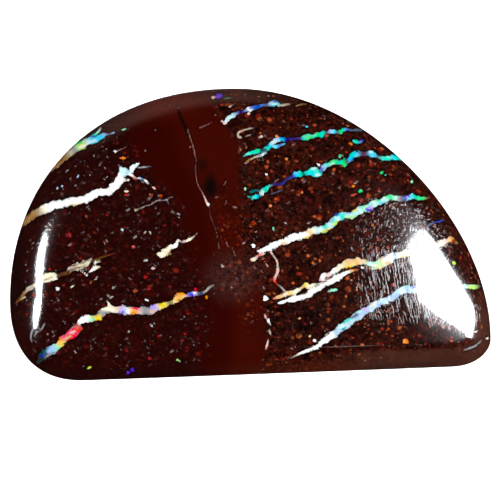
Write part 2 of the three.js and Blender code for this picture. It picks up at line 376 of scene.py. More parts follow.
        (2.35, 3.6, 0.14, "indigo"), (2.65, 3.75, 0.16, "deep_blue"), (2.85, 3.85, 0.2, "blue"),
        (3.05, 4.0, 0.36, "cyan"), (3.3, 4.0, 0.32, "teal"), (3.5, 4.0, 0.12, "dark_teal"),
        (3.75, 4.05, 0.28, "teal"), (4.25, 4.15, 0.64, "teal"), (4.45, 4.05, 0.44, "teal"),
        (4.65, 4.25, 0.24, "slate"), (4.85, 4.45, 0.36, "pale_blue"), (5.1, 4.6, 0.36, "teal"),
        (5.35, 4.7, 0.36, "green"), (5.65, 4.8, 0.36, "green"), (5.85, 4.75, 0.32, "teal"),
        (6.15, 4.8, 0.4, "green"), (6.35, 4.85, 0.32, "slate"), (6.6, 5.0, 0.32, "cyan"),
        (6.75, 5.2, 0.36, "teal"), (7.05, 5.3, 0.36, "cyan"), (7.3, 5.3, 0.28, "slate"),
        (7.7, 5.35, 0.24, "slate"), (7.95, 5.35, 0.36, "cyan"), (8.2, 5.25, 0.28, "cyan"),
        (8.45, 5.15, 0.16, "slate"), (8.7, 5.05, 0.24, "teal"), (9.25, 5.05, 0.28, "teal"),
        (9.45, 5.1, 0.32, "cyan"), (9.7, 5.1, 0.28, "teal"), (9.95, 5.05, 0.24, "teal"),
        (10.15, 4.95, 0.2, "dark_teal"),
    ),
    "teal_middle_veil": (
        (0.0, 2.8, 0.16, "dark_teal"), (0.35, 2.9, 0.2, "dark_teal"), (0.7, 2.85, 0.16, "slate"),
    ),
    "teal_middle_thread": (
        (1.35, 2.65, 0.08, "slate"), (2.15, 2.95, 0.08, "slate"),
    ),
    "teal_dash": (
        (6.85, 6.2, 0.2, "teal"), (7.1, 6.1, 0.24, "teal"), (7.3, 6.15, 0.16, "blue"),
        (7.5, 6.25, 0.12, "deep_blue"),
    ),
    "mint_long": (
        (0.45, -1.1, 0.08, "pink"), (0.7, -1.1, 0.28, "white"), (1.25, -0.9, 0.4, "white"),
        (1.85, -0.55, 0.36, "white"), (2.15, -0.5, 0.36, "cream"), (2.45, -0.4, 0.4, "white"),
        (2.75, -0.2, 0.48, "white"), (3.65, -0.05, 0.48, "white"), (3.9, 0.15, 0.48, "gold"),
        (4.15, 0.25, 0.48, "cream"), (4.45, 0.3, 0.52, "pale_cyan"), (4.7, 0.35, 0.48, "pale_cyan"),
        (4.95, 0.45, 0.46, "teal"), (5.25, 0.6, 0.44, "pale_cyan"), (5.5, 0.85, 0.48, "teal"),
        (5.75, 1.05, 0.48, "pale_cyan"), (6.05, 1.2, 0.48, "teal"), (6.35, 1.25, 0.4, "mint"),
        (6.65, 1.25, 0.4, "pale_cyan"), (6.9, 1.35, 0.46, "mint"), (7.15, 1.55, 0.46, "pale_cyan"),
        (7.45, 1.7, 0.48, "mint"), (7.7, 1.75, 0.44, "mint"), (7.9, 1.8, 0.46, "pale_blue"),
        (8.05, 1.95, 0.44, "mint"), (8.25, 2.1, 0.4, "pale_cyan"), (8.5, 2.15, 0.4, "mint"),
        (8.75, 2.2, 0.4, "pale_cyan"), (9.05, 2.4, 0.48, "mint"), (9.3, 2.45, 0.36, "green"),
        (9.55, 2.4, 0.36, "mint"), (9.85, 2.35, 0.32, "grey"), (10.1, 2.35, 0.32, "slate"),
        (10.3, 2.45, 0.4, "pale_blue"), (10.5, 2.45, 0.36, "cyan"), (10.7, 2.55, 0.32, "cyan"),
        (10.9, 2.5, 0.28, "teal"), (11.15, 2.4, 0.28, "green"), (11.4, 2.4, 0.2, "green"),
        (11.65, 2.4, 0.16, "olive"), (11.9, 2.45, 0.08, "brown"),
    ),
    "mint_long_foot": (
        (0.05, -1.65, 0.16, "pink"), (0.2, -1.65, 0.24, "cream"), (0.4, -1.5, 0.2, "pink"),
        (0.6, -1.35, 0.16, "salmon"), (0.85, -1.25, 0.2, "pink"),
    ),
    "pink_thread": (
        (1.35, -1.15, 0.16, "pink"), (1.55, -1.45, 0.12, "beige"), (1.75, -1.75, 0.12, "pink"),
        (1.8, -2.15, 0.16, "beige"), (1.8, -2.45, 0.16, "pink"), (1.65, -2.8, 0.16, "pink"),
        (1.6, -3.05, 0.16, "salmon"), (1.75, -3.3, 0.12, "rust"), (2.0, -3.45, 0.1, "grey"),
        (2.25, -3.75, 0.16, "beige"),
    ),
    "gold_upper": (
        (1.55, -4.25, 0.16, "salmon"), (1.8, -4.15, 0.24, "gold"), (2.05, -4.05, 0.28, "peach"),
        (2.35, -3.95, 0.36, "cream"), (2.65, -3.85, 0.36, "gold"), (2.95, -3.8, 0.32, "cream"),
        (3.25, -3.65, 0.28, "cream"), (3.45, -3.45, 0.24, "gold"), (3.65, -3.3, 0.28, "yellow"),
        (3.9, -3.45, 0.32, "cream"), (4.2, -3.4, 0.28, "cream"), (4.45, -3.3, 0.12, "olive"),
    ),
    "gold_lower": (
        (1.85, -4.55, 0.12, "white"), (2.85, -4.25, 0.32, "white"), (3.85, -3.95, 0.44, "white"),
        (4.75, -3.3, 0.48, "white"), (5.75, -2.85, 0.4, "white"), (6.3, -2.55, 0.24, "white"),
        (6.55, -2.45, 0.2, "cream"), (6.9, -2.35, 0.12, "orange"), (7.2, -2.3, 0.08, "red"),
    ),
    "gold_crest": (
        (4.65, -3.05, 0.2, "pink"), (4.85, -2.75, 0.32, "white"), (5.15, -2.7, 0.28, "pink"),
        (5.45, -2.5, 0.32, "white"), (5.75, -2.3, 0.36, "cream"), (6.05, -2.1, 0.44, "cream"),
        (6.35, -2.0, 0.52, "gold"), (6.95, -1.8, 0.52, "gold"), (7.25, -1.8, 0.48, "peach"),
        (7.5, -1.8, 0.36, "peach"), (7.75, -1.9, 0.28, "mint"), (7.95, -1.95, 0.32, "pale_cyan"),
        (8.25, -2.05, 0.48, "cream"), (8.5, -2.0, 0.56, "pale_green"), (8.85, -1.8, 0.64, "cream"),
        (9.15, -1.65, 0.64, "white"), (9.4, -1.5, 0.48, "cream"), (9.6, -1.4, 0.44, "pale_blue"),
        (9.85, -1.35, 0.48, "cream"), (10.95, -1.15, 0.46, "cream"), (11.55, -0.95, 0.4, "white"),
        (12.1, -0.75, 0.36, "pink"), (12.35, -0.7, 0.44, "pink"), (12.7, -0.65, 0.44, "cream"),
        (13.0, -0.45, 0.4, "pink"), (13.25, -0.35, 0.4, "gold"), (13.45, -0.4, 0.28, "rust"),
        (13.7, -0.55, 0.2, "olive"),
    ),
    "gold_dash": (
        (5.1, -3.8, 0.08, "grey"), (5.4, -3.7, 0.2, "mint"), (5.7, -3.65, 0.12, "mint"),
    ),
    "blue_white": (
        (2.65, -8.2, 0.04, "grey"), (3.05, -8.0, 0.12, "beige"), (3.35, -7.85, 0.16, "white"),
        (4.35, -7.45, 0.24, "white"), (5.15, -6.8, 0.44, "white"), (5.4, -6.65, 0.48, "white"),
        (5.65, -6.55, 0.48, "ice"), (5.8, -6.35, 0.48, "ice"), (6.0, -6.15, 0.48, "pale_cyan"),
        (6.25, -6.0, 0.48, "pale_cyan"), (6.55, -5.8, 0.48, "ice"), (7.15, -5.35, 0.52, "ice"),
        (7.45, -5.15, 0.48, "lavender"), (7.7, -5.05, 0.44, "lavender"), (7.95, -4.85, 0.44, "ice"),
        (8.25, -4.65, 0.48, "ice"), (8.5, -4.55, 0.44, "pale_blue"), (8.85, -4.45, 0.4, "pale_cyan"),
        (9.15, -4.3, 0.4, "ice"), (9.5, -4.15, 0.4, "pale_blue"), (9.75, -3.9, 0.44, "ice"),
        (10.05, -3.7, 0.44, "pale_cyan"), (10.3, -3.6, 0.44, "ice"), (10.6, -3.65, 0.48, "pale_blue"),
        (10.9, -3.65, 0.48, "ice"), (11.55, -3.75, 0.44, "ice"), (12.65, -3.6, 0.4, "ice"),
        (13.55, -3.45, 0.32, "pale_cyan"), (14.05, -3.45, 0.28, "pale_cyan"), (14.35, -3.45, 0.28, "mint"),
        (14.65, -3.45, 0.24, "yellow_green"), (14.9, -3.45, 0.3, "pale_green"),
        (15.15, -3.45, 0.18, "olive"), (15.35, -3.4, 0.08, "dark_teal"),
    ),
    "indigo_dash": (
        (11.7, 0.5, 0.16, "slate"), (11.95, 0.7, 0.16, "slate"), (12.25, 0.8, 0.12, "indigo"),
        (12.5, 0.85, 0.12, "deep_blue"), (12.8, 0.95, 0.1, "indigo"),
    ),
    "lip_line": (
        (3.6, -7.45, 0.04, "haze"), (5.2, -7.45, 0.06, "haze"), (6.6, -7.4, 0.08, "haze"),
        (8.4, -7.35, 0.04, "haze"), (11.4, -7.3, 0.04, "haze"),
    ),
    "band_scratch": (
        (-3.35, 7.05, 0.12, "rose"), (-2.8, 7.3, 0.08, "rose"), (-2.45, 7.5, 0.04, "rust"),
    ),
    "band_edge_high": (
        (0.9, -5.25, 0.08, "rose"), (1.0, -5.45, 0.12, "pink"), (1.0, -5.6, 0.08, "rose"),
    ),
    "band_edge_white": (
        (1.2, -5.6, 0.12, "white"), (1.2, -5.75, 0.16, "white"), (1.35, -6.0, 0.08, "grey"),
    ),
    "band_edge_middle": (
        (1.25, -6.3, 0.08, "beige"), (1.3, -6.5, 0.16, "beige"), (1.35, -6.65, 0.08, "grey"),
    ),
    "band_edge_low": (
        (1.2, -6.9, 0.08, "rose"), (1.15, -7.15, 0.12, "pink"), (1.05, -7.45, 0.12, "pink"),
        (1.0, -7.65, 0.08, "rose"),
    ),
    "crack_shadow": (
        (-4.85, 8.65, 0.08, "soot"), (-4.65, 7.85, 0.12, "soot"), (-4.2, 6.85, 0.12, "soot"),
        (-4.1, 6.45, 0.08, "soot"),
    ),
    "crack": (
        (-4.15, 6.95, 0.08, "haze"), (-4.0, 6.45, 0.08, "rose"), (-3.8, 5.85, 0.08, "rose"),
        (-3.65, 5.2, 0.12, "rose"), (-3.6, 4.8, 0.08, "haze"), (-3.65, 4.25, 0.08, "haze"),
        (-3.5, 3.35, 0.08, "rose"), (-3.2, 2.8, 0.08, "rose"), (-2.9, 2.15, 0.12, "pink"),
        (-2.75, 1.85, 0.08, "haze"), (-2.65, 1.25, 0.08, "rose"), (-2.45, 0.7, 0.08, "haze"),
        (-2.25, 0.15, 0.08, "rose"), (-2.2, -0.15, 0.08, "haze"), (-2.05, -1.1, 0.08, "haze"),
    ),
    # Painted glints: grey curls at the foot of the left highlight, where polishing marks catch the left soft
    # box
    "glint_curl_outer": (
        (-14.5, -7.15, 0.1, "haze"), (-14.55, -6.75, 0.12, "grey"), (-14.45, -6.35, 0.12, "grey"),
        (-14.25, -6.15, 0.12, "grey"), (-13.95, -6.25, 0.1, "haze"),
    ),
    "glint_curl_inner": (
        (-14.2, -7.15, 0.1, "haze"), (-14.3, -6.8, 0.1, "haze"), (-14.2, -6.5, 0.12, "grey"),
        (-13.95, -6.4, 0.1, "haze"), (-13.75, -6.15, 0.12, "grey"), (-13.6, -5.85, 0.1, "haze"),
    ),
    "buff_trail": (
        (-10.6, -1.8, 0.12, "brown"), (-9.8, -1.5, 0.16, "brown"), (-9.0, -1.25, 0.12, "crimson"),
    ),
    # Painted reflection: a pale grey streak where the right soft box is mirrored in the right corner's
    # shoulder
    "corner_painted_reflection": (
        (14.1, -7.7, 0.1, "haze"), (14.55, -7.55, 0.14, "grey"), (15.0, -7.35, 0.14, "grey"),
        (15.35, -7.0, 0.1, "haze"),
    ),
    "band_strand": (
        (-1.75, -0.25, 0.08, "rust"), (-1.55, -0.6, 0.12, "rose"), (-1.45, -0.85, 0.08, "rust"),
    ),
    "band_strand_low": (
        (-1.2, -0.85, 0.08, "rose"), (-1.0, -1.45, 0.08, "rose"),
    ),
    "band_tick": (
        (-1.6, 3.55, 0.08, "rose"), (-1.7, 3.35, 0.08, "rose"), (-1.85, 3.15, 0.04, "rust"),
    ),
    "band_tick_low": (
        (-1.6, 2.2, 0.08, "rose"), (-1.65, 2.0, 0.08, "rose"), (-1.75, 1.9, 0.04, "rust"),
    ),
}

# Patches of another colour inside a seam. Each dash: x, y, end x, end y, width and colour
TINTS = {
    "buff_strands": (
        (-12.15, -2.45, -11.3, -2.15, 0.08, "brown"), (-11.7, -2.05, -10.7, -1.75, 0.08, "brown"),
        (-11.35, -2.25, -10.95, -2.05, 0.06, "tan"), (-13.75, -3.05, -13.15, -2.85, 0.08, "tan"),
    ),
    "left_white_cream": (
        (-11.9, 1.9, -11.5, 1.95, 0.16, "gold"), (-11.5, 1.95, -11.05, 2.1, 0.16, "cream"),
    ),
    "arch_green": (
        (-11.55, 6.05, -11.25, 6.15, 0.2, "green"),
    ),
    "arch_pale": (
        (-11.35, 5.75, -10.95, 5.9, 0.2, "cream"), (-10.55, 6.15, -10.25, 6.25, 0.16, "pale_cyan"),
        (-10.5, 6.5, -10.25, 6.5, 0.12, "blue"),
    ),
    "rainbow_blue": (
        (-13.85, -8.05, -13.65, -7.95, 0.22, "deep_blue"), (-13.35, -7.75, -13.05, -7.5, 0.24, "pale_blue"),
        (-13.55, -8.15, -13.1, -7.8, 0.16, "grey"),
    ),
    "rainbow_yellow": (
        (-12.9, -7.15, -12.7, -7.25, 0.2, "peach"), (-12.55, -7.25, -12.2, -7.2, 0.28, "yellow"),
        (-12.3, -6.95, -11.9, -6.75, 0.12, "peach"),
    ),
    "rainbow_red": (
        (-11.9, -6.25, -11.75, -6.1, 0.12, "grey"), (-11.5, -6.6, -11.3, -6.25, 0.16, "scarlet"),
        (-12.1, -6.45, -11.8, -6.25, 0.12, "scarlet"), (-11.95, -6.55, -11.65, -6.4, 0.14, "pink"),
    ),
    "rainbow_grey": (
        (-10.45, -5.35, -10.15, -5.25, 0.16, "slate"), (-10.65, -5.65, -10.35, -5.65, 0.16, "mint"),
        (-11.1, -5.35, -10.9, -5.3, 0.12, "pink"), (-9.7, -5.15, -9.35, -5.15, 0.16, "grey"),
    ),
    "rainbow_violet": (
        (-8.65, -4.65, -8.55, -4.75, 0.16, "pink"), (-8.45, -5.15, -8.25, -5.25, 0.16, "violet"),
        (-8.2, -4.8, -8.3, -5.25, 0.12, "pale_cyan"), (-7.95, -5.35, -7.8, -5.35, 0.18, "scarlet"),
        (-7.85, -5.2, -7.6, -5.15, 0.22, "amber"), (-7.75, -4.85, -7.5, -4.9, 0.2, "coral"),
        (-7.25, -4.75, -6.9, -4.7, 0.16, "slate"), (-6.55, -5.1, -6.35, -5.1, 0.2, "peach"),
        (-6.55, -4.7, -6.45, -4.65, 0.12, "violet"),
    ),
    "rainbow_end": (
        (-5.05, -4.5, -4.75, -4.35, 0.12, "peach"), (-4.95, -4.05, -4.7, -3.9, 0.12, "orange"),
        (-4.05, -3.9, -3.9, -3.9, 0.16, "blue"), (-4.25, -4.15, -4.05, -4.15, 0.12, "pink"),
        (-3.75, -3.85, -3.65, -3.85, 0.12, "white"),
    ),
    "right_top_white": (
        (-0.1, 8.2, 0.15, 8.25, 0.12, "white"), (1.55, 8.8, 1.8, 8.85, 0.16, "blue"),
        (1.45, 8.65, 1.65, 8.65, 0.16, "pale_cyan"),
    ),
    "teal_upper_bits": (
        (0.35, 5.5, 0.55, 5.55, 0.16, "green"), (0.75, 5.55, 1.05, 5.6, 0.12, "dark_teal"),
        (1.0, 5.85, 1.15, 5.9, 0.12, "deep_blue"), (1.45, 6.05, 1.7, 6.15, 0.12, "pale_cyan"),
        (1.9, 6.35, 2.25, 6.35, 0.08, "blue"), (3.7, 6.4, 4.05, 6.45, 0.16, "green"),
    ),
    "teal_middle_bits": (
        (4.05, 4.35, 4.3, 4.4, 0.16, "pale_cyan"), (4.35, 3.9, 4.55, 3.95, 0.16, "pale_cyan"),
        (3.9, 4.0, 4.15, 3.95, 0.16, "cyan"), (0.65, 2.75, 0.8, 2.9, 0.12, "mint"),
        (5.25, 4.6, 5.5, 4.7, 0.16, "mint"), (6.65, 4.9, 6.85, 5.05, 0.12, "blue"),
        (7.9, 5.5, 8.05, 5.45, 0.16, "pale_cyan"), (2.95, 4.1, 3.15, 4.1, 0.12, "pale_blue"),
        (9.05, 5.15, 9.25, 5.1, 0.12, "mint"), (4.65, 4.2, 4.75, 4.35, 0.12, "blue"),
    ),
    "mint_long_bits": (
        (0.9, -1.2, 1.15, -1.15, 0.12, "pink"), (2.05, -0.65, 2.45, -0.55, 0.12, "peach"),
        (3.85, 0.3, 4.1, 0.4, 0.16, "cream"), (3.5, -0.3, 3.85, -0.15, 0.16, "yellow"),
        (4.7, 0.15, 4.95, 0.2, 0.2, "yellow_green"), (4.95, 0.25, 5.25, 0.35, 0.16, "yellow"),
        (5.5, 0.65, 5.85, 0.85, 0.2, "yellow_green"), (5.1, 0.8, 5.35, 0.95, 0.12, "lavender"),
        (6.0, 1.5, 6.15, 1.5, 0.12, "yellow_green"), (5.7, 1.2, 6.05, 1.4, 0.12, "cyan"),
        (6.35, 1.1, 6.85, 1.15, 0.16, "pale_green"), (6.75, 1.6, 6.95, 1.7, 0.24, "yellow"),
        (6.25, 1.4, 6.65, 1.45, 0.12, "pale_blue"), (7.75, 1.65, 8.05, 1.7, 0.28, "violet"),
        (7.9, 1.75, 8.1, 1.85, 0.16, "lavender"), (8.35, 2.25, 8.55, 2.3, 0.16, "green"),
        (8.6, 2.05, 8.9, 2.15, 0.16, "cyan"), (8.95, 2.55, 9.25, 2.55, 0.16, "green"),
        (9.45, 2.5, 9.65, 2.5, 0.16, "mint"), (10.25, 2.5, 10.5, 2.55, 0.16, "violet"),
        (10.15, 2.35, 10.45, 2.35, 0.12, "blue"), (10.4, 2.25, 10.55, 2.25, 0.12, "pale_cyan"),
        (10.7, 2.6, 10.85, 2.6, 0.16, "teal"),
    ),
    "gold_bits": (
        (3.35, -3.85, 3.6, -3.8, 0.32, "brown"), (3.4, -3.65, 3.6, -3.65, 0.12, "soot"),
        (2.05, -3.95, 2.25, -3.8, 0.12, "rust"), (2.35, -4.1, 2.75, -4.05, 0.08, "rust"),
        (3.55, -3.15, 3.7, -3.2, 0.12, "yellow"), (4.3, -3.45, 4.55, -3.3, 0.12, "olive"),
        (4.7, -3.2, 5.35, -2.85, 0.12, "rust"), (4.9, -3.15, 5.25, -2.9, 0.08, "soot"),
        (5.35, -2.75, 5.9, -2.5, 0.1, "soot"), (5.9, -2.5, 6.35, -2.3, 0.12, "rust"),
        (6.05, -2.45, 6.3, -2.3, 0.08, "soot"),
    ),
    "gold_crest_bits": (
        (6.35, -2.15, 6.85, -2.05, 0.2, "yellow"), (6.45, -1.7, 6.75, -1.55, 0.16, "pink"),
        (6.95, -1.65, 7.35, -1.6, 0.12, "peach"), (6.35, -2.25, 6.75, -2.25, 0.12, "orange"),
        (7.9, -2.15, 8.15, -2.15, 0.08, "green"), (8.1, -1.9, 8.35, -1.85, 0.16, "mint"),
        (8.65, -1.55, 9.05, -1.4, 0.16, "pink"), (8.9, -1.95, 9.25, -1.85, 0.16, "gold"),
        (8.5, -2.25, 8.75, -2.15, 0.16, "gold"), (9.5, -1.5, 9.7, -1.55, 0.16, "pale_cyan"),
        (10.05, -1.45, 10.35, -1.45, 0.16, "gold"), (12.85, -0.75, 13.15, -0.55, 0.12, "brown"),
        (12.25, -0.95, 12.65, -0.9, 0.12, "tan"), (13.25, -0.65, 13.4, -0.55, 0.2, "rust"),
        (13.15, -0.15, 13.45, -0.15, 0.12, "orange"),
    ),
    "blue_white_bits": (
        (6.15, -5.85, 6.65, -5.55, 0.16, "teal"), (6.75, -5.5, 7.05, -5.3, 0.2, "slate"),
        (7.05, -5.15, 7.3, -5.05, 0.16, "mint"), (7.35, -5.25, 7.7, -5.1, 0.16, "pale_blue"),
        (7.55, -5.3, 7.9, -5.15, 0.08, "mint"), (8.05, -4.7, 8.35, -4.5, 0.16, "cream"),
        (8.5, -4.65, 8.75, -4.55, 0.12, "pale_blue"), (8.95, -4.2, 9.1, -4.15, 0.08, "violet"),
        (10.15, -3.45, 10.45, -3.4, 0.12, "mint"), (10.55, -3.4, 10.8, -3.45, 0.12, "blue"),
        (6.05, -6.3, 6.3, -6.15, 0.12, "cyan"), (10.75, -3.55, 11.0, -3.55, 0.12, "deep_blue"),
        (14.5, -3.3, 14.75, -3.35, 0.08, "mint"),
    ),
}

# Loose sparks of opal and bright grains off the seams, and painted glints at the right corner, as dashes
# like those
SPARKS = {
    "branch_specks": (
        (-7.75, 3.75, -7.6, 3.65, 0.18, "red"), (-8.35, 2.6, -8.05, 2.65, 0.2, "red"),
        (-6.7, 2.6, -6.45, 2.65, 0.26, "rust"), (-6.0, 2.55, -5.85, 2.55, 0.24, "red"),
        (-6.5, 3.15, -6.25, 3.0, 0.16, "pink"), (-10.9, 1.3, -10.8, 1.1, 0.2, "rust"),
        (-4.85, 1.4, -4.65, 1.3, 0.18, "grey"), (-4.8, 1.15, -4.7, 1.1, 0.14, "grey"),
        (-5.05, 0.7, -4.95, 0.8, 0.2, "crimson"), (-7.1, 0.0, -6.85, 0.25, 0.14, "beige"),
        (-7.8, -0.95, -7.7, -0.7, 0.18, "salmon"), (-6.55, -2.25, -6.3, -2.25, 0.2, "pink"),
        (-10.6, -3.3, -10.5, -3.0, 0.2, "rust"), (-11.5, 3.7, -11.35, 3.95, 0.14, "ice"),
        (-12.85, 3.05, -12.75, 3.05, 0.18, "ice"), (-12.5, 3.2, -12.45, 3.2, 0.14, "ice"),
        (-11.65, 3.15, -11.5, 3.35, 0.14, "grey"), (-10.7, 3.9, -10.6, 3.95, 0.14, "ice"),
        (-9.75, 3.75, -9.6, 3.6, 0.12, "grey"), (-9.55, 3.75, -9.45, 3.85, 0.12, "grey"),
        (-11.05, 4.8, -10.95, 4.9, 0.12, "slate"),
    ),
    "band_specks": (
        (-7.0, 5.55, -6.9, 5.55, 0.14, "rose"), (-6.35, 6.9, -6.25, 6.9, 0.14, "haze"),
        (-4.05, 5.8, -3.95, 5.8, 0.14, "rose"), (-4.8, 8.4, -4.7, 8.4, 0.16, "haze"),
        (-5.4, 8.55, -5.3, 8.55, 0.16, "haze"), (-2.5, 9.05, -2.45, 9.1, 0.2, "pink"),
        (-1.45, 8.45, -1.25, 8.5, 0.16, "beige"), (-2.35, 7.9, -2.3, 7.9, 0.16, "haze"),
    ),
    # Painted glints: pale specks on the right corner's shoulder
    "corner": (
        (14.9, -6.45, 15.1, -6.4, 0.14, "cream"), (15.65, -6.95, 15.85, -6.85, 0.14, "cream"),
    ),
    "violet": (
        (-2.15, 9.15, -2.0, 9.2, 0.36, "violet"), (-7.9, -8.95, -7.8, -9.0, 0.26, "violet"),
        (-8.15, -9.15, -8.05, -9.15, 0.2, "violet"),
    ),
    "green": (
        (-1.85, 9.0, -1.25, 9.05, 0.12, "moss"), (1.5, 0.5, 1.55, 0.25, 0.16, "mint"),
        (10.65, 3.5, 10.75, 3.5, 0.2, "mint"), (7.15, 2.85, 7.4, 2.9, 0.24, "green"),
        (8.6, 4.0, 8.8, 4.2, 0.18, "green"), (8.9, 3.9, 9.0, 3.95, 0.16, "teal"),
        (5.85, 5.15, 6.0, 5.25, 0.16, "green"), (6.1, 4.5, 6.35, 4.6, 0.16, "green"),
        (-0.35, 3.1, -0.35, 2.9, 0.18, "mint"), (-8.55, 6.9, -8.25, 7.0, 0.14, "mint"),
    ),
    "citron": (
        (-10.8, -8.9, -10.55, -8.75, 0.18, "yellow_green"), (13.4, -1.9, 13.55, -1.9, 0.24, "yellow_green"),
        (-4.9, -8.3, -4.75, -8.3, 0.14, "pale_green"), (-4.75, -8.3, -4.65, -8.45, 0.12, "pale_green"),
    ),
    "cyan": (
        (3.7, 7.15, 3.75, 7.1, 0.2, "cyan"), (5.55, 1.3, 5.75, 1.35, 0.2, "deep_blue"),
        (-8.55, 0.35, -8.4, 0.3, 0.18, "pale_cyan"),
    ),
    "orange": (
        (-8.65, 5.05, -8.25, 5.05, 0.2, "orange"), (10.2, -7.15, 10.35, -7.0, 0.34, "orange"),
        (1.65, 6.55, 1.8, 6.45, 0.2, "orange"), (2.3, 5.0, 2.45, 4.95, 0.2, "orange"),
        (6.75, 3.25, 6.85, 3.15, 0.2, "orange"), (1.25, 1.9, 1.4, 1.9, 0.2, "orange"),
        (3.35, 2.85, 3.45, 2.75, 0.2, "orange"), (6.55, 6.05, 6.75, 5.95, 0.18, "orange"),
        (-2.95, -4.1, -2.85, -4.2, 0.2, "orange"), (0.05, 0.75, 0.35, 0.7, 0.34, "rust"),
        (-7.8, -3.75, -7.45, -3.7, 0.26, "rust"),
    ),
    "red": (
        (6.6, 2.55, 7.05, 2.7, 0.2, "red"), (-3.7, -3.65, -3.6, -3.6, 0.28, "scarlet"),
        (-13.45, -3.35, -13.15, -3.25, 0.18, "crimson"),
    ),
    "white": (
        (0.15, -0.65, 0.25, -0.85, 0.24, "white"), (1.0, -4.15, 1.05, -4.3, 0.34, "white"),
        (0.95, 4.05, 1.15, 3.9, 0.16, "white"), (4.4, 4.7, 4.6, 4.5, 0.16, "white"),
        (-2.85, 2.05, -2.75, 1.95, 0.2, "white"), (-7.0, -4.3, -6.7, -4.4, 0.18, "white"),
        (-12.9, -2.9, -12.85, -2.95, 0.2, "white"), (-12.75, -3.55, -12.7, -3.7, 0.26, "white"),
        (7.35, -2.15, 7.45, -2.25, 0.18, "white"), (4.2, -6.95, 4.3, -7.1, 0.2, "white"),
        (-8.1, 3.65, -8.05, 3.55, 0.18, "cream"), (-8.35, 2.85, -8.05, 2.85, 0.16, "cream"),
        (-0.15, 8.05, -0.05, 7.95, 0.2, "white"), (-9.05, 5.5, -8.85, 5.5, 0.2, "white"),
        (-8.85, 5.5, -8.2, 5.8, 0.1, "rose"), (-11.95, -3.55, -11.65, -3.35, 0.14, "cream"),
        # Painted glint: this last white spark, on the right corner
        (14.8, -6.5, 15.05, -6.45, 0.14, "white"),
    ),
    "buff": (
        (-1.2, 1.85, -0.85, 1.75, 0.16, "rose"), (-1.05, -2.85, -0.75, -2.95, 0.16, "haze"),
        (3.15, -5.6, 3.35, -5.5, 0.14, "peach"), (3.85, -6.8, 4.0, -6.65, 0.14, "peach"),
    ),
}

# Noise in the finishes: cells per millimetre, octaves, roughness, the part of its range that is used, and
# what that part becomes
BLOTCHES = {"scale": 1.1, "detail": 4.0, "roughness": 0.62, "used": (0.3, 0.7), "becomes": (0.4, 1.5)}
MOTTLING = {"scale": 4.2, "detail": 4.0, "roughness": 0.7, "used": (0.36, 0.66), "becomes": (0.1, 2.0)}
RED_PATCHES = {"scale": 1.9, "detail": 3.0, "roughness": 0.5, "used": (0.56, 0.7), "becomes": (0.0, 0.5)}
DUST_PATCHES = {"scale": 2.6, "detail": 4.0, "roughness": 0.65, "used": (0.54, 0.72), "becomes": (0.0, 0.4)}
CLUMPS = {"scale": 1.5, "detail": 3.0, "roughness": 0.6, "used": (0.36, 0.62), "becomes": (0.12, 1.0)}
FIRE_STREAKS = {"scale": 9.0, "detail": 2.0, "roughness": 0.5, "used": (0.3, 0.7), "becomes": (0.86, 1.08)}
GLOSS_SMEARS = {"scale": 1.7, "detail": 3.0, "roughness": 0.5, "used": (0.3, 0.7), "becomes": (0.03, 0.045)}
CURL_BREAKS = {"scale": 4.0, "detail": 1.0, "roughness": 0.5, "used": (0.44, 0.56), "becomes": (0.0, 1.0)}
BACK_CHALK = {"scale": 2.4, "detail": 5.0, "roughness": 0.6, "used": (0.4, 0.75), "becomes": (0.05, 0.3)}
BACK_SATIN = {"scale": 2.4, "detail": 5.0, "roughness": 0.6, "used": (0.3, 0.7), "becomes": (0.45, 0.62)}

# The whole range of a share
WHOLE = (0.0, 1.0)

# How much of the blotches and the mottling shows, at the left and at the right
MOTTLED_SIDES = (0.55, 1.0)

# Grains in the ironstone. Each kind: turn in degrees, cells per millimetre, radius and core of a spot in
# cells, share of the cells that show one, how rare bright ones are, strength at the left and at the right,
# and colours at the right and at the left
GLOW_WARM = ((0.0, "crimson"), (0.2, "red"), (0.5, "rust"), (0.75, "ember"), (0.96, "orange"))
GLOW_COOL = ((0.0, "crimson"), (0.45, "crimson"), (0.75, "red"), (0.95, "scarlet"))
SLIVER_WARM = (
    (0.0, "rust"), (0.3, "haze"), (0.6, "clay"), (0.8, "rose"), (0.92, "pink"), (0.98, "white"),
)
SLIVER_COOL = (
    (0.0, "crimson"), (0.2, "haze"), (0.45, "rose"), (0.65, "grey"), (0.8, "beige"), (0.92, "white"),
)
GRAINS = (
    {
        "turn": 0, "cells": (1.5, 1.8, 1.8), "radius": 0.44, "core": 0.2, "share": 0.45, "rarity": 0.75,
        "strength": (0.55, 1.0), "warm": GLOW_WARM, "cool": GLOW_COOL,
    },
    {
        "turn": 20, "cells": (2.4, 3.0, 3.0), "radius": 0.44, "core": 0.35, "share": 0.45, "rarity": 0.75,
        "strength": (0.9, 1.0), "warm": GLOW_WARM, "cool": GLOW_COOL,
    },
    {
        "turn": -30, "cells": (1.8, 4.0, 4.0), "radius": 0.46, "core": 0.3, "share": 0.34, "rarity": 1.2,
        "strength": (1.0, 0.85), "warm": SLIVER_WARM, "cool": SLIVER_COOL,
    },
    {
        "turn": 50, "cells": (2.1, 4.4, 4.4), "radius": 0.46, "core": 0.3, "share": 0.28, "rarity": 1.2,
        "strength": (1.0, 0.85), "warm": SLIVER_WARM, "cool": SLIVER_COOL,
    },
    {
        "turn": 0, "cells": (4.2, 4.6, 4.6), "radius": 0.42, "core": 0.2, "share": 0.35, "rarity": 1.0,
        "strength": (0.4, 0.9), "warm": GLOW_WARM, "cool": SLIVER_COOL,
    },
)

# Size of a faint and of a bright spot, how sharply the cells with a spot are told from those without,
# and the noise that makes spots ragged: its cells per millimetre and its push
SPOT_SIZES = (0.5, 1.0)
SPOT_CUTOFF = 0.02
GRAIN_WARP = (7.0, 0.22)

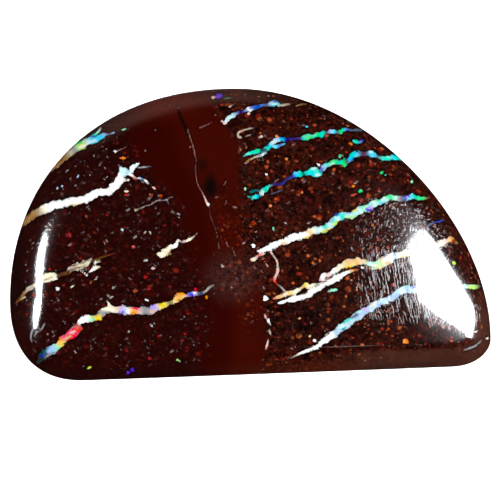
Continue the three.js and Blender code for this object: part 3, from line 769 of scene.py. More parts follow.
# Ragged edge of a seam: a slow ripple and a fine fray, each with cells per millimetre, octaves and
# roughness, and shards, with cells per millimetre and weight. Thin seams fray more, wide ones wander more
EDGE_RIPPLE = (2.6, 3.0, 0.5)
EDGE_FRAY = (10.0, 2.0, 0.6)
SHARD_SCALE = 4.0
SHARD_WEIGHT = 0.3
FRAY_BY_SIZE = ((0.06, 0.2), (1.3, 0.3))
WANDER_BY_SIZE = ((0.04, 0.2), (0.02, 0.32))
EDGE_SOFTNESS = 0.02

# Play of colour: patches per millimetre, the noise that makes them ragged, and how far a patch may move
# the seam's hue, value and saturation. A seam is dimmer at its edge than this deep in, as a share of its
# size
FIRE_SCALE = 3.4
FIRE_WARP = (3.0, 0.15)
FIRE_HUE = (0.487, 0.513)
FIRE_VALUE = (0.88, 1.08)
FIRE_SATURATION = (0.88, 1.18)
EDGE_DIMMING_DEPTH = (0.0, -0.5)
EDGE_DIMMING = (0.7, 1.0)

# Shadow in the rock beside a seam: its reach, its weight by the seam's size, and the light it leaves
SHADOW_REACH = 0.2
SHADOW_BY_SIZE = ((0.04, 0.16), (0.35, 1.0))
SHADOW_LIGHT = 0.25

# Polishing passes: turn in degrees, lines per millimetre across and along, depth. A scratch is where the
# noise, with its scale, octaves and roughness, passes through this range
POLISH_PASSES = ((-13, 11.0, 0.8, 1.0), (-6, 13.0, 1.1, 0.8), (35, 10.0, 1.2, 0.35))
SCRATCH_NOISE = (1.0, 2.0, 0.55)
SCRATCH_RANGE = (0.57, 0.66)
SCRATCH_DEPTH = 0.0047

# A fainter and softer sheen over the gloss
SHEEN_WEIGHT = 0.5
SHEEN_ROUGHNESS = 0.15

# How scratched the gloss is, from the left to the right, and where that changes
WEAR_RANGE = (0.15, 0.95)
WEAR_X = (6.2, 9.0)
WEAR_Y = (3.2, 0.8)
WEAR_FOOT = (-6.4, -5.2)

# Curled scratches: where they take over from straight ones, noise cells per millimetre of each set, octaves
# and roughness of the noise, width and depth
SWIRL_Y = (-1.7, -0.3)
CURL_SCALES = (2.3, 3.4)
CURL_NOISE = (2.0, 0.4)
CURL_WIDTH = 0.04
CURL_DEPTH = 2.2

# The lapped back: how dull its colours are, its dust, and its scratches
BACK_DULLING = {"Saturation": 0.75, "Value": 0.7}
BACK_DUST = (0.16, 0.1, 0.07)
BACK_SCRATCH_DEPTH = 0.02
BACK_SCRATCH_STRENGTH = 0.6

# What the finishes read from the mesh, and which output of the attribute goes to which input
STORED_PATTERNS = ("seam_gap", "seam_size", "seam_colour", "ground", "flecks", "warmth", "wear", "swirl")
ROCK_INPUTS = {"Ground": ("ground", "Color"), "Flecks": ("flecks", "Fac"), "Warmth": ("warmth", "Fac")}
OPAL_INPUTS = {"Gap": ("seam_gap", "Fac"), "Size": ("seam_size", "Fac"), "Colour": ("seam_colour", "Color")}

# Soft boxes. A box's angles are in degrees, seen from the point it is aimed at; lengths are in millimetres.
# Each cut takes off a corner of the box: its heading and its distance from the box's middle
LEFT_BOX = {
    "shape": "ELLIPSE", "elevation": 30.9, "azimuth": 178.6, "roll": 38.3, "width": 247.0, "height": 121.0,
    "aim": (-14.0, -2.0, 5.0), "cuts": (),
}
RIGHT_BOX = {
    "shape": "RECTANGLE", "elevation": 32.0, "azimuth": -3.8, "roll": 1.7, "width": 138.0, "height": 606.0,
    "aim": (12.0, -3.0, 5.0), "cuts": ((25.0, 162.0), (203.0, 76.0)),
}
CUT_SOFTNESS = 6.0
LAMP_COLOUR = (0.92, 0.95, 1.0)
LAMP_WATTS_PER_RADIANCE = 4.0

# The dark room: a dim reddish wall beyond the arch, fading up, down to its foot, and to both sides. The
# brightness of the room and of the wall, and of the backdrop that the camera sees
WHITE_LIGHT = (1.0, 1.0, 1.0, 1.0)
WALL_COLOUR = (1.0, 0.5, 0.41, 1.0)
WALL_HEADING = (-0.24, 0.97, 0.0)
WALL_FADE_UP = (-0.2, 0.24)
WALL_FADE_DOWN = (-0.9, -0.1)
WALL_FOOT = 0.2
WALL_FADE_BEYOND = (0.84, 0.99)
ROOM_BRIGHTNESS = (0.008, 0.42)
BACKDROP_BRIGHTNESS = 0.95

# Floor and camera: the gap under the stone, the girdle's height, the middle of the picture, and the nearest
# and farthest things shown, as shares of the camera's distance
FLOOR_GAP = 0.02
FLOOR_ROUGHNESS = 0.8
GIRDLE_HEIGHT = 2.5
VIEW_MIDDLE = (-0.03, -1.03)
CLIP_SHARES = (0.1, 20.0)


def srgb_to_linear(display):
    """Scene-linear values of display colours: the standard two-part curve."""
    display = np.asarray(display, dtype=float)
    return np.where(display <= 0.04045, display / 12.92, ((display + 0.055) / 1.055) ** 2.4)


def palette_annotations():
    """One colour property for each entry of the palette."""
    return {
        name: FloatVectorProperty(
            name=name.replace("_", " ").capitalize(),
            description=meaning,
            subtype="COLOR_GAMMA",
            size=3,
            min=0.0,
            max=1.0,
            default=colour,
        )
        for name, (colour, meaning) in PALETTE.items()
    }


class OpalColours(bpy.types.PropertyGroup):
    """Colours of the ironstone and of the opal in its seams, and of the light and shade painted on it."""

    __annotations__ = palette_annotations()


class StoneSizes(bpy.types.PropertyGroup):
    """Sizes of the cut stone."""

    thickness: FloatProperty(
        name="Thickness",
        description="Height of the crown's peak above the flat back",
        default=6.2 * MM,
        min=1.0 * MM,
        unit="LENGTH",
    )
    crown_radius_along: FloatProperty(
        name="Crown radius along",
        description="Radius of the dome along the stone's length",
        default=75.0 * MM,
        unit="LENGTH",
    )
    crown_radius_across: FloatProperty(
        name="Crown radius across",
        description="Radius of the dome across the stone",
        default=45.0 * MM,
        unit="LENGTH",
    )
    shoulder_left: FloatProperty(
        name="Left shoulder",
        description="Radius of the rolled edge at the left end",
        default=3.0 * MM,
        unit="LENGTH",
    )
    shoulder_right: FloatProperty(
        name="Right shoulder",
        description="Radius of the rolled edge at the right end",
        default=1.8 * MM,
        unit="LENGTH",
    )
    shoulder_straight: FloatProperty(
        name="Straight side's shoulder",
        description="Radius of the rolled edge along the straight side",
        default=1.7 * MM,
        unit="LENGTH",
    )
    wall_lean: FloatProperty(
        name="Wall lean",
        description="How far the wall leans in towards the back",
        default=math.radians(5),
        unit="ROTATION",
    )
    back_edge_radius: FloatProperty(
        name="Back edge radius",
        description="Radius of the eased edge between the wall and the back",
        default=0.6 * MM,
        unit="LENGTH",
    )
    lapping_height: FloatProperty(
        name="Lapping waves",
        description="Height of the slow waves that hand lapping leaves",
        default=0.006 * MM,
        unit="LENGTH",
        precision=6,
    )


class StageSettings(bpy.types.PropertyGroup):
    """The floor, the lights and the camera."""

    picture_width: FloatProperty(
        name="Picture width",
        description="Width that the picture shows at the stone's girdle",
        default=33.22 * MM,
        unit="LENGTH",
    )
    lens: FloatProperty(
        name="Lens",
        description="Focal length of the camera, in millimetres",
        default=800.0,
        subtype="DISTANCE_CAMERA",
    )
    light_distance: FloatProperty(
        name="Light distance",
        description="Distance of the soft boxes from the stone",
        default=0.5,
        unit="LENGTH",
    )
    left_light: FloatProperty(
        name="Left soft box",
        description="Brightness of the soft box at the left",
        default=46.0,
        min=0.0,
    )
    right_light: FloatProperty(
        name="Right soft box",
        description="Brightness of the soft box at the right",
        default=31.0,
        min=0.0,
    )
    floor_size: FloatProperty(
        name="Floor size",
        description="Width of the floor",
        default=4.0,
        unit="LENGTH",
    )
    floor_glow: FloatProperty(
        name="Floor glow",
        description="Light that the pale floor gives off, as a light table does",
        default=0.8,
        min=0.0,
    )
    floor_colour: FloatVectorProperty(
        name="Floor colour",
        description="Colour of the pale floor",
        subtype="COLOR_GAMMA",
        size=3,
        min=0.0,
        max=1.0,
        default=(0.93, 0.925, 0.915),
    )


def in_mm(length):
    """A property's length, in millimetres."""
    return length / MM


def ease(value, edges):
    """0 before the first edge, 1 after the second, and an S curve between them."""
    share = np.clip((value - edges[0]) / (edges[1] - edges[0]), 0.0, 1.0)
    return share * share * (3.0 - 2.0 * share)


def blend(first, second, share):
    """The first value where the share is 0, the second where it is 1."""
    return first + (second - first) * share


def cubic_curve(start, start_handle, end_handle, end):
    """A cubic curve from start towards end, with its end left out."""
    t = np.linspace(0.0, 1.0, OUTLINE_STEPS, endpoint=False)[:, None]
    near = (1 - t) ** 3 * start + 3 * (1 - t) ** 2 * t * start_handle
    return near + 3 * (1 - t) * t**2 * end_handle + t**3 * end


def fine_outline():
    """Closely spaced outline points, anticlockwise from the straight side's left end, and back to it.

    A straight line, then a curve round the right corner, over the arch in two, and round the left corner.
    """
    straight = STRAIGHT_RIGHT - STRAIGHT_LEFT
    along = straight / np.linalg.norm(straight)
    up = np.array((0.0, 1.0))
    right = np.array((1.0, 0.0))
    shares = np.linspace(0.0, 1.0, OUTLINE_STEPS, endpoint=False)[:, None]
    stretches = (
        STRAIGHT_LEFT + straight * shares,
        cubic_curve(
            STRAIGHT_RIGHT,
            STRAIGHT_RIGHT + along * STRAIGHT_RIGHT_HANDLE,
            RIGHT_END - up * RIGHT_END_HANDLES["below"],
            RIGHT_END,
        ),
        cubic_curve(
            RIGHT_END,
            RIGHT_END + up * RIGHT_END_HANDLES["above"],
            ARCH_TOP + right * ARCH_TOP_HANDLES["right"],
            ARCH_TOP,
        ),
        cubic_curve(
            ARCH_TOP,
            ARCH_TOP - right * ARCH_TOP_HANDLES["left"],
            LEFT_END + up * LEFT_END_HANDLES["above"],
            LEFT_END,
        ),
        cubic_curve(
            LEFT_END,
            LEFT_END - up * LEFT_END_HANDLES["below"],
            STRAIGHT_LEFT - along * STRAIGHT_LEFT_HANDLE,
            STRAIGHT_LEFT,
        ),
        STRAIGHT_LEFT[None, :],
    )
    return np.concatenate(stretches)


def outline_at(fine, shares):
    """Outline points at shares of its whole length, measured along it."""
    steps = np.linalg.norm(np.diff(fine, axis=0), axis=1)
    lengths = np.concatenate(((0.0,), np.cumsum(steps)))
    places = np.asarray(shares) * lengths[-1]
    return np.stack([np.interp(places, lengths, fine[:, axis]) for axis in (0, 1)], axis=-1)


def outward_normals(rim):
    """The outward normal at each rim point, square to the chord between its neighbours."""
    chord = np.roll(rim, -1, axis=0) - np.roll(rim, 1, axis=0)
    normals = np.stack((chord[:, 1], -chord[:, 0]), axis=-1)
    return normals / np.linalg.norm(normals, axis=1, keepdims=True)


def segment_distance(points, start, end):
    """Distance of each point from a segment, and the share along it of the nearest place."""
    chord = end - start
    share = np.clip((points - start) @ chord / (chord @ chord), 0.0, 1.0)
    return np.linalg.norm(points - start - share[:, None] * chord, axis=1), share


def edge_distance(points, outline):
    """Distance of each point from the nearest stretch of the outline."""
    nearest = np.full(len(points), np.inf)
    for start, end in zip(outline[:-1], outline[1:]):
        nearest = np.minimum(nearest, segment_distance(points, start, end)[0])
    return nearest


def lapping_waves(points):
    """The sum of three slow sine waves, each with its own length and heading."""
    height = np.zeros(len(points))
    for length, heading, share in LAPPING_WAVES:
        turn = math.radians(heading)
        across = points @ np.array((math.cos(turn), math.sin(turn)))
        height += share * np.sin(2 * math.pi * across / length + heading)
    return height


def crown_height(points, from_edge, sizes):
    """Height of the crown: thickness, less a parabolic dome, the right end's slope and a quarter round.

    The quarter round's radius changes along the stone and towards the straight side. Lapping waves fade
    out over the shoulder.
    """
    x, y = points[:, 0], points[:, 1]
    dome = (x - CROWN_PEAK[0]) ** 2 / (2 * in_mm(sizes.crown_radius_along))
    dome = dome + (y - CROWN_PEAK[1]) ** 2 / (2 * in_mm(sizes.crown_radius_across))
    past = x * math.cos(END_SLOPE_HEADING) + y * math.sin(END_SLOPE_HEADING) - END_SLOPE_START
    end_slope = END_SLOPE_DROP * (np.maximum(past, 0.0) / END_SLOPE_LENGTH) ** 2
    radius = blend(in_mm(sizes.shoulder_left), in_mm(sizes.shoulder_right), ease(x, SHOULDER_CHANGE_X))
    radius = blend(radius, in_mm(sizes.shoulder_straight), ease(y, SHOULDER_CHANGE_Y))
    inward = np.maximum(radius - from_edge, 0.0)
    shoulder = radius - np.sqrt(radius**2 - inward**2)
    waves = in_mm(sizes.lapping_height) * lapping_waves(points) * np.clip(from_edge / radius, 0.0, 1.0)
    return in_mm(sizes.thickness) - dome - end_slope - shoulder + waves


def square_grid(rings):
    """Ring number and share round the ring for each point of a square grid.

    A point's ring is the larger of its two steps from the grid's middle. Its share runs anticlockwise
    round that square ring, from the lower left corner.
    """
    steps = np.arange(-rings, rings + 1)
    i, j = np.meshgrid(steps, steps, indexing="ij")
    ring = np.maximum(abs(i), abs(j))
    place = np.select(
        (j == -ring, i == ring, j == ring),
        (i + ring, 3 * ring + j, 5 * ring - i),
        default=7 * ring - j,
    )
    return i, j, ring, place / np.maximum(8 * ring, 1)


def grid_rim(ring, share):
    """Indices of a grid's outermost ring, in order round it."""
    outermost = np.flatnonzero(ring.ravel() == ring.max())
    return outermost[np.argsort(share.ravel()[outermost])]


def grid_triangles(i, j):
    """Two triangles for each cell of the grid, cut along the diagonal that points at the grid's middle."""
    index = np.arange(i.size).reshape(i.shape)
    a, b, c, d = index[:-1, :-1], index[1:, :-1], index[1:, 1:], index[:-1, 1:]
    same_side = (i[:-1, :-1] >= 0) == (j[:-1, :-1] >= 0)
    first = np.where(same_side[..., None], np.stack((a, b, c), -1), np.stack((a, b, d), -1))
    second = np.where(same_side[..., None], np.stack((a, c, d), -1), np.stack((b, c, d), -1))
    return np.concatenate((first.reshape(-1, 3), second.reshape(-1, 3)))


def ring_triangles(upper, lower):
    """A strip of triangles between two rings of the same count, facing outwards."""
    upper_next, lower_next = np.roll(upper, -1), np.roll(lower, -1)
    first = np.stack((upper, lower, lower_next), axis=-1)
    second = np.stack((upper, lower_next, upper_next), axis=-1)
    return np.concatenate((first, second))


def thinning_triangles(upper, lower):
    """A strip of triangles from a ring to one with a third of its points, facing outwards."""
    first, second, third = upper[0::3], upper[1::3], upper[2::3]
    first_next, lower_next = np.roll(first, -1), np.roll(lower, -1)
    corners = (
        (first, lower, second),
        (second, lower, lower_next),
        (second, lower_next, third),
        (third, lower_next, first_next),
    )
    return np.concatenate([np.stack(parts, axis=-1) for parts in corners])


def back_skin(foot, girdle):
    """Points and depths of the flat back inside its eased edge, its triangles, and its rim's indices.

    The grid has a third of the crown's rings. The depth goes from the girdle's mean height, in the middle,
    to its height nearby, at the edge.
    """
    i, j, ring, share = square_grid(BACK_RINGS)
    scale = BACK_INSET * ring.ravel() / BACK_RINGS
    around = np.arange(len(foot) + 1) / len(foot)
    x, y, edge_depth = (
        np.interp(share.ravel(), around, np.append(values, values[0]))
        for values in (foot[:, 0], foot[:, 1], girdle)
    )
    points = np.column_stack((x * scale, y * scale, np.zeros(len(scale))))
    depth = blend(girdle.mean(), edge_depth, scale)
    return points, depth, grid_triangles(i, j)[:, ::-1], grid_rim(ring, share)


def rings_below(rim, girdle, sizes):
    """Rings of points from under the rim to the back's edge.

    The wall leans in from the girdle, square to the rim, and a quarter round eases it into the back.
    """
    normals = outward_normals(rim)
    lean = math.tan(sizes.wall_lean)
    radius = in_mm(sizes.back_edge_radius)
    rings = []
    for step in range(1, WALL_RINGS + 1):
        z = blend(girdle, radius, step / WALL_RINGS)
        rings.append(np.column_stack((rim - normals * ((girdle - z) * lean)[:, None], z)))
    foot_inset = (girdle - radius) * lean
    for step in range(1, BACK_EDGE_RINGS + 1):
        turn = math.pi / 2 * step / BACK_EDGE_RINGS
        inset = foot_inset + radius * (1 - math.cos(turn))
        z = np.full(len(rim), radius * (1 - math.sin(turn)))
        rings.append(np.column_stack((rim - normals * inset[:, None], z)))
    return rings


def stone_skin(sizes):
    """Vertices, triangles, depths below the girdle, distances in from it, and the triangles before the back.

    The crown is the outline drawn in towards the middle, ring by ring, at the crown's height. Rings below
    its rim make the wall, and a coarser grid makes the back.
    """
    fine = fine_outline()
    i, j, ring, share = square_grid(CROWN_RINGS)
    inwards = ring / CROWN_RINGS
    scale = inwards + (inwards - inwards**RIM_CROWDING) / (RIM_CROWDING - 1)
    crown = outline_at(fine, share.ravel()) * scale.reshape(-1, 1)
    from_edge = edge_distance(crown, fine[::2])
    from_edge[ring.ravel() == CROWN_RINGS] = 0.0
    height = crown_height(crown, from_edge, sizes)
    vertices = [np.column_stack((crown, height))]
    triangles = [grid_triangles(i, j)]

    rim_cells = grid_rim(ring, share)
    rim = crown[rim_cells]
    girdle = height[rim_cells]
    upper = rim_cells
    count = len(crown)
    depths = [np.zeros(len(crown))]
    from_edges = [from_edge]
    for points in rings_below(rim, girdle, sizes):
        lower = np.arange(count, count + len(points))
        triangles.append(ring_triangles(upper, lower))
        vertices.append(points)
        depths.append(girdle - points[:, 2])
        from_edges.append(np.zeros(len(points)))
        upper = lower
        count += len(points)
    before_back = sum(len(part) for part in triangles)
    points, depth, back_triangles, back_rim = back_skin(vertices[-1], girdle)
    triangles += [thinning_triangles(upper, count + back_rim), count + back_triangles]
    vertices.append(points)
    depths.append(depth)
    from_edges.append(edge_distance(points[:, :2], fine[::2]))
    skin = {"vertices": vertices, "triangles": triangles, "depths": depths, "from_edge": from_edges}
    return {name: np.concatenate(parts) for name, parts in skin.items()}, before_back


def palette_array(colours):
    """Scene-linear values of the palette, by name."""
    return {name: srgb_to_linear(getattr(colours, name)) for name in PALETTE}


def smooth_route(points):
    """A route through given points: each stretch is a cubic, along the neighbours' chord at its ends."""
    before = np.concatenate((points[:1], points[:-1]))
    after = np.concatenate((points[1:], points[-1:]))
    slopes = (after - before) / 2
    t = np.linspace(0.0, 1.0, SEAM_CURVE_STEPS, endpoint=False)[None, :, None]
    start, end = points[:-1, None, :], points[1:, None, :]
    start_slope, end_slope = slopes[:-1, None, :], slopes[1:, None, :]
    route = (2 * t**3 - 3 * t**2 + 1) * start + (t**3 - 2 * t**2 + t) * start_slope
    route = route + (3 * t**2 - 2 * t**3) * end + (t**3 - t**2) * end_slope
    return np.concatenate((route.reshape(-1, points.shape[1]), points[-1:]))


def seam_rows(points, palette):
    """A seam's points as one array: x, y, half width and three colour values."""
    return np.array([(x, y, width / 2, *palette[colour]) for x, y, width, colour in points])


def dash_rows(dash, palette):
    """A short dash as two rows like a seam's."""
    x, y, end_x, end_y, width, colour = dash
    return seam_rows(((x, y, width, colour), (end_x, end_y, width, colour)), palette)


def spark_rows(dash, palette):
    """A spark as three rows like a seam's: a sliver, widest in its middle and narrow at its ends."""
    x, y, end_x, end_y, width, colour = dash
    middle = ((x + end_x) / 2, (y + end_y) / 2, width, colour)
    tip = width * SPARK_TIP
    return seam_rows(((x, y, tip, colour), middle, (end_x, end_y, tip, colour)), palette)


def route_gap(places, rows):
    """For places near a route: which they are, the gap to its edge, its half width and its colour there.

    The gap is the distance from the route's middle line less its half width, so it is negative inside.
    """
    low = rows[:, :2].min(axis=0) - SEAM_REACH
    high = rows[:, :2].max(axis=0) + SEAM_REACH
    near = np.flatnonzero(((places > low) & (places < high)).all(axis=1))
    points = places[near]
    gap = np.full(len(near), np.inf)
    size = np.zeros(len(near))
    colour = np.zeros((len(near), 3))
    for start, end in zip(rows[:-1], rows[1:]):
        distance, share = segment_distance(points, start[:2], end[:2])
        half_width = blend(start[2], end[2], share)
        closer = distance - half_width < gap
        gap[closer] = (distance - half_width)[closer]
        size[closer] = half_width[closer]
        colour[closer] = blend(start[3:], end[3:], share[closer, None])
    return near, gap, size, colour


def opal_pattern(places, palette):
    """The gap to the nearest seam or spark, its half width and its colour, for each place on the stone.

    Tints are blended over the colour inside their own softened edges.
    """
    gap = np.full(len(places), SEAM_REACH)
    size = np.full(len(places), NO_SEAM_SIZE)
    colour = np.zeros((len(places), 3))
    routes = [smooth_route(seam_rows(points, palette)) for points in SEAMS.values()]
    routes += [spark_rows(dash, palette) for group in SPARKS.values() for dash in group]
    for rows in routes:
        near, near_gap, near_size, near_colour = route_gap(places, rows)
        closer = near_gap < gap[near]
        chosen = near[closer]
        gap[chosen] = near_gap[closer]
        size[chosen] = near_size[closer]
        colour[chosen] = near_colour[closer]
    for dash in (dash for group in TINTS.values() for dash in group):
        near, near_gap, _, near_colour = route_gap(places, dash_rows(dash, palette))
        weight = ease(near_gap, (TINT_SOFTNESS, -TINT_SOFTNESS))[:, None]
        colour[near] = blend(colour[near], near_colour, weight)
    return gap, size, colour


def band_share(places):
    """1 in the clear band and 0 outside it; and 0 at its left, 1 at its right, with an S curve across it."""
    left = np.array(BAND_LEFT_EDGE[::-1])
    right = np.array(BAND_RIGHT_EDGE[::-1])
    left_x = np.interp(places[:, 1], left[:, 1], left[:, 0])
    right_x = np.interp(places[:, 1], right[:, 1], right[:, 0])
    inside_left = ease(places[:, 0] - left_x, (-BAND_LEFT_SOFTNESS, BAND_LEFT_SOFTNESS))
    inside_right = ease(right_x - places[:, 0], (-BAND_RIGHT_SOFTNESS, BAND_RIGHT_SOFTNESS))
    across = ease(places[:, 0], (left_x, right_x))
    return inside_left * inside_right, across


def soft_patch(places, x, y, half_width, half_height):
    """1 in the middle of an oval patch, and an S curve down to 0 a little beyond its edge."""
    reach = np.hypot((places[:, 0] - x) / half_width, (places[:, 1] - y) / half_height)
    return ease(reach, PATCH_FADE)


def ground_pattern(places, from_straight_side, from_edge, depth, palette):
    """Colour of the rock between the seams, how many flecks it holds, and how warm they are.

    The colour changes from the left to the right, with the clear band between. Smoke and painted shade,
    dust, the painted glow along the straight side's rim, the painted light on the lip and the lit edge are
    blended over it in turn. The band and those rims hold few flecks, and the warmth grows from left to
    right.
    """
    band, across = band_share(places)
    outside = blend(palette["left_ground"], palette["right_ground"], across[:, None])
    inside = blend(palette["band_dark"], palette["band_red"], ease(across, BAND_REDDENS)[:, None])
    ground = blend(outside, inside, band[:, None])
    # Smoky patches, and painted shade along the left rim
    for *patch, darkness in SMOKE_AND_SHADE_PATCHES:
        ground = blend(ground, palette["soot"], (darkness * soft_patch(places, *patch))[:, None])
    veil = soft_patch(places, *DUST_VEIL)
    ground = blend(ground, palette["dust"], (VEIL_DUST * veil)[:, None])
    # Painted light: a red-brown glow along the straight side's rim
    painted_glow = ease(from_straight_side, PAINTED_GLOW_DEPTH[::-1]) * ease(places[:, 0], PAINTED_GLOW_START_X)
    ground = blend(ground, palette["painted_rim_glow"], painted_glow[:, None])
    # Painted light: a lighter brown band on the shoulder round the right corner
    lip = ease(places[:, 0], LIP_START_X) * ease(places[:, 1], LIP_START_Y)
    lip = ease(from_edge, LIP_DEPTH[::-1]) * lip
    ground = blend(ground, palette["lip"], lip[:, None])
    middle = 4.0 * across * (1.0 - across)
    lit_edge = ease(from_edge, LIT_EDGE_DEPTH[::-1]) * ease(depth, LIT_EDGE_FADE[::-1])
    lit_edge = LIT_EDGE_STRENGTH * band * middle * lit_edge * ease(places[:, 1], LIT_EDGE_Y)
    ground = blend(ground, palette["lit_edge"], lit_edge[:, None])
    dusty = ease(places[:, 1], BAND_DUST_TOP) * ease(places[:, 1], BAND_DUST_FOOT)
    clear = band * blend(1.0, CLEAREST_LOW, dusty * ease(across, BAND_DUST_ACROSS))
    flecks = (1.0 - clear) * blend(LEFT_FLECKS, 1.0, across) * (1.0 - RIM_CLEARING * np.maximum(painted_glow, lip))
    plain_rim = (1.0 - across) * ease(from_edge, PLAIN_RIM_DEPTH[::-1])
    flecks = flecks * blend(1.0, RIM_FLECKS, plain_rim)
    swirled = ease(places[:, 0], WEAR_X) * ease(places[:, 1], WEAR_Y) * ease(places[:, 1], SWIRL_Y)
    flecks = np.maximum(flecks * blend(1.0, SWIRL_FLECKS, swirled), VEIL_FLECKS * veil)
    return ground, flecks, across


def put_attribute(mesh, name, values):
    """Stores one number or one colour for each vertex."""
    if values.ndim == 1:
        layer = mesh.attributes.new(name, "FLOAT", "POINT")
        layer.data.foreach_set("value", values.astype(np.float32))
    else:
        layer = mesh.attributes.new(name, "FLOAT_COLOR", "POINT")
        opaque = np.column_stack((values, np.ones(len(values))))
        layer.data.foreach_set("color", opaque.astype(np.float32).ravel())


def stone_mesh(sizes, palette):
    """The stone's mesh, with the seams and the ground stored on its vertices."""
    skin, before_back = stone_skin(sizes)
    vertices, triangles = skin["vertices"], skin["triangles"]
    mesh = bpy.data.meshes.new("boulder_opal_stone")
    mesh.from_pydata((vertices * MM).tolist(), [], triangles.tolist())
    if mesh.validate():
        raise ValueError("the stone's mesh has faulty faces")
    mesh.polygons.foreach_set("use_smooth", np.ones(len(triangles), dtype=bool))
    on_back = (np.arange(len(triangles)) >= before_back).astype(np.int32)
    mesh.polygons.foreach_set("material_index", on_back)

    places = vertices[:, :2] + skin["depths"][:, None] * np.array(SEAM_DIP)
    gap, size, colour = opal_pattern(places, palette)
    straight_distance = segment_distance(vertices[:, :2], STRAIGHT_LEFT, STRAIGHT_RIGHT)[0]
    ground, flecks, warmth = ground_pattern(
        places, straight_distance, skin["from_edge"], skin["depths"], palette
    )
    put_attribute(mesh, "seam_gap", gap)
    put_attribute(mesh, "seam_size", size)
    put_attribute(mesh, "seam_colour", colour)
    # The ground also carries painted light and shade: the glow along the straight side, the lighter band
    # round the right corner and the shade at the left rim
    put_attribute(mesh, "ground", ground)
    put_attribute(mesh, "flecks", flecks)
    put_attribute(mesh, "warmth", warmth)
    scratched = ease(vertices[:, 0], WEAR_X) * ease(vertices[:, 1], WEAR_Y) * ease(vertices[:, 1], WEAR_FOOT)
    put_attribute(mesh, "wear", blend(*WEAR_RANGE, scratched))
    put_attribute(mesh, "swirl", ease(vertices[:, 1], SWIRL_Y))
    mesh.update()
    return mesh


def place(tree, kind, inputs=None, **settings):
    """Adds a node, makes its settings, and fills its inputs with values or with other nodes' outputs."""
    made = tree.nodes.new("ShaderNode" + kind)
    for name, value in settings.items():
        setattr(made, name, value)
    for key, value in (inputs or {}).items():
        if isinstance(value, bpy.types.NodeSocket):
            tree.links.new(value, made.inputs[key])
        else:
            made.inputs[key].default_value = value
    return made


def calc(tree, operation, *values):
    """The output of a Math node."""
    return place(tree, "Math", dict(enumerate(values)), operation=operation).outputs[0]


def reckon(tree, operation, first, second=None, scale=None, output="Vector"):
    """The output of a Vector Math node."""
    inputs = {0: first}
    if second is not None:
        inputs[1] = second
    if scale is not None:
        inputs["Scale"] = scale
    return place(tree, "VectorMath", inputs, operation=operation).outputs[output]


def remap(tree, value, from_range, to_range, smooth=True):
    """A value moved from one range to another, held at the ends."""
    inputs = {
        "Value": value,
        "From Min": from_range[0],
        "From Max": from_range[1],
        "To Min": to_range[0],
        "To Max": to_range[1],
    }
    kind = "SMOOTHSTEP" if smooth else "LINEAR"
    return place(tree, "MapRange", inputs, interpolation_type=kind).outputs["Result"]


def mix_colour(tree, share, first, second):
    """Two colours mixed by a share."""
    return place(tree, "Mix", {0: share, 6: first, 7: second}, data_type="RGBA").outputs[2]


def mix_value(tree, share, first, second):
    """Two numbers mixed by a share."""
    return place(tree, "Mix", {0: share, 2: first, 3: second}, data_type="FLOAT").outputs[0]


def noise(tree, vector, scale, detail=2.0, roughness=0.5):
    """A Noise Texture node."""
    inputs = {"Vector": vector, "Scale": scale, "Detail": detail, "Roughness": roughness}
    return place(tree, "TexNoise", inputs)


def centred_noise(tree, vector, scale, detail, roughness):
    """Noise about 0."""
    return calc(tree, "SUBTRACT", noise(tree, vector, scale, detail, roughness).outputs["Fac"], 0.5)


def cloud(tree, vector, kind):
    """Noise of one kind, with the used part of its range spread by an S curve over what it becomes."""
    field = noise(tree, vector, kind["scale"], kind["detail"], kind["roughness"]).outputs["Fac"]
    return remap(tree, field, kind["used"], kind["becomes"])


def cells(tree, vector, scale):
    """The nearest cell of a Voronoi pattern: how far its point is, and its own three random numbers."""
    pattern = place(tree, "TexVoronoi", {"Vector": vector, "Scale": scale}).outputs
    chance = place(tree, "SeparateColor", {"Color": pattern["Color"]}).outputs
    return pattern["Distance"], chance


def colour_steps(tree, value, stops):
    """A Color Ramp through the given stops."""
    made = place(tree, "ValToRGB", {"Fac": value})
    ramp = made.color_ramp
    while len(ramp.elements) < len(stops):
        ramp.elements.new(0.5)
    for element, (position, colour) in zip(ramp.elements, stops):
        element.position = position
        element.color = (*colour, 1.0)
    return made.outputs["Color"]


def new_group(name, inputs, outputs):
    """An empty shader node group with named sockets, and its input and output nodes."""
    tree = bpy.data.node_groups.new(name, "ShaderNodeTree")
    for socket_name, kind in inputs:
        tree.interface.new_socket(socket_name, in_out="INPUT", socket_type="NodeSocket" + kind)
    for socket_name, kind in outputs:
        tree.interface.new_socket(socket_name, in_out="OUTPUT", socket_type="NodeSocket" + kind)
    return tree, tree.nodes.new("NodeGroupInput").outputs, tree.nodes.new("NodeGroupOutput").inputs


def warped(tree, vector, scale, reach):
    """A vector pushed about by noise, so that round cells come out ragged."""
    push = reckon(tree, "SUBTRACT", noise(tree, vector, scale).outputs["Color"], (0.5, 0.5, 0.5))
    return reckon(tree, "ADD", vector, reckon(tree, "SCALE", push, scale=reach))


def stretched(tree, vector, turn, counts):
    """A vector turned about the vertical by degrees, then scaled along each axis."""
    rotation = (0.0, 0.0, math.radians(turn))
    turned = place(tree, "Mapping", {"Vector": vector, "Rotation": rotation}).outputs["Vector"]
    return reckon(tree, "MULTIPLY", turned, counts)


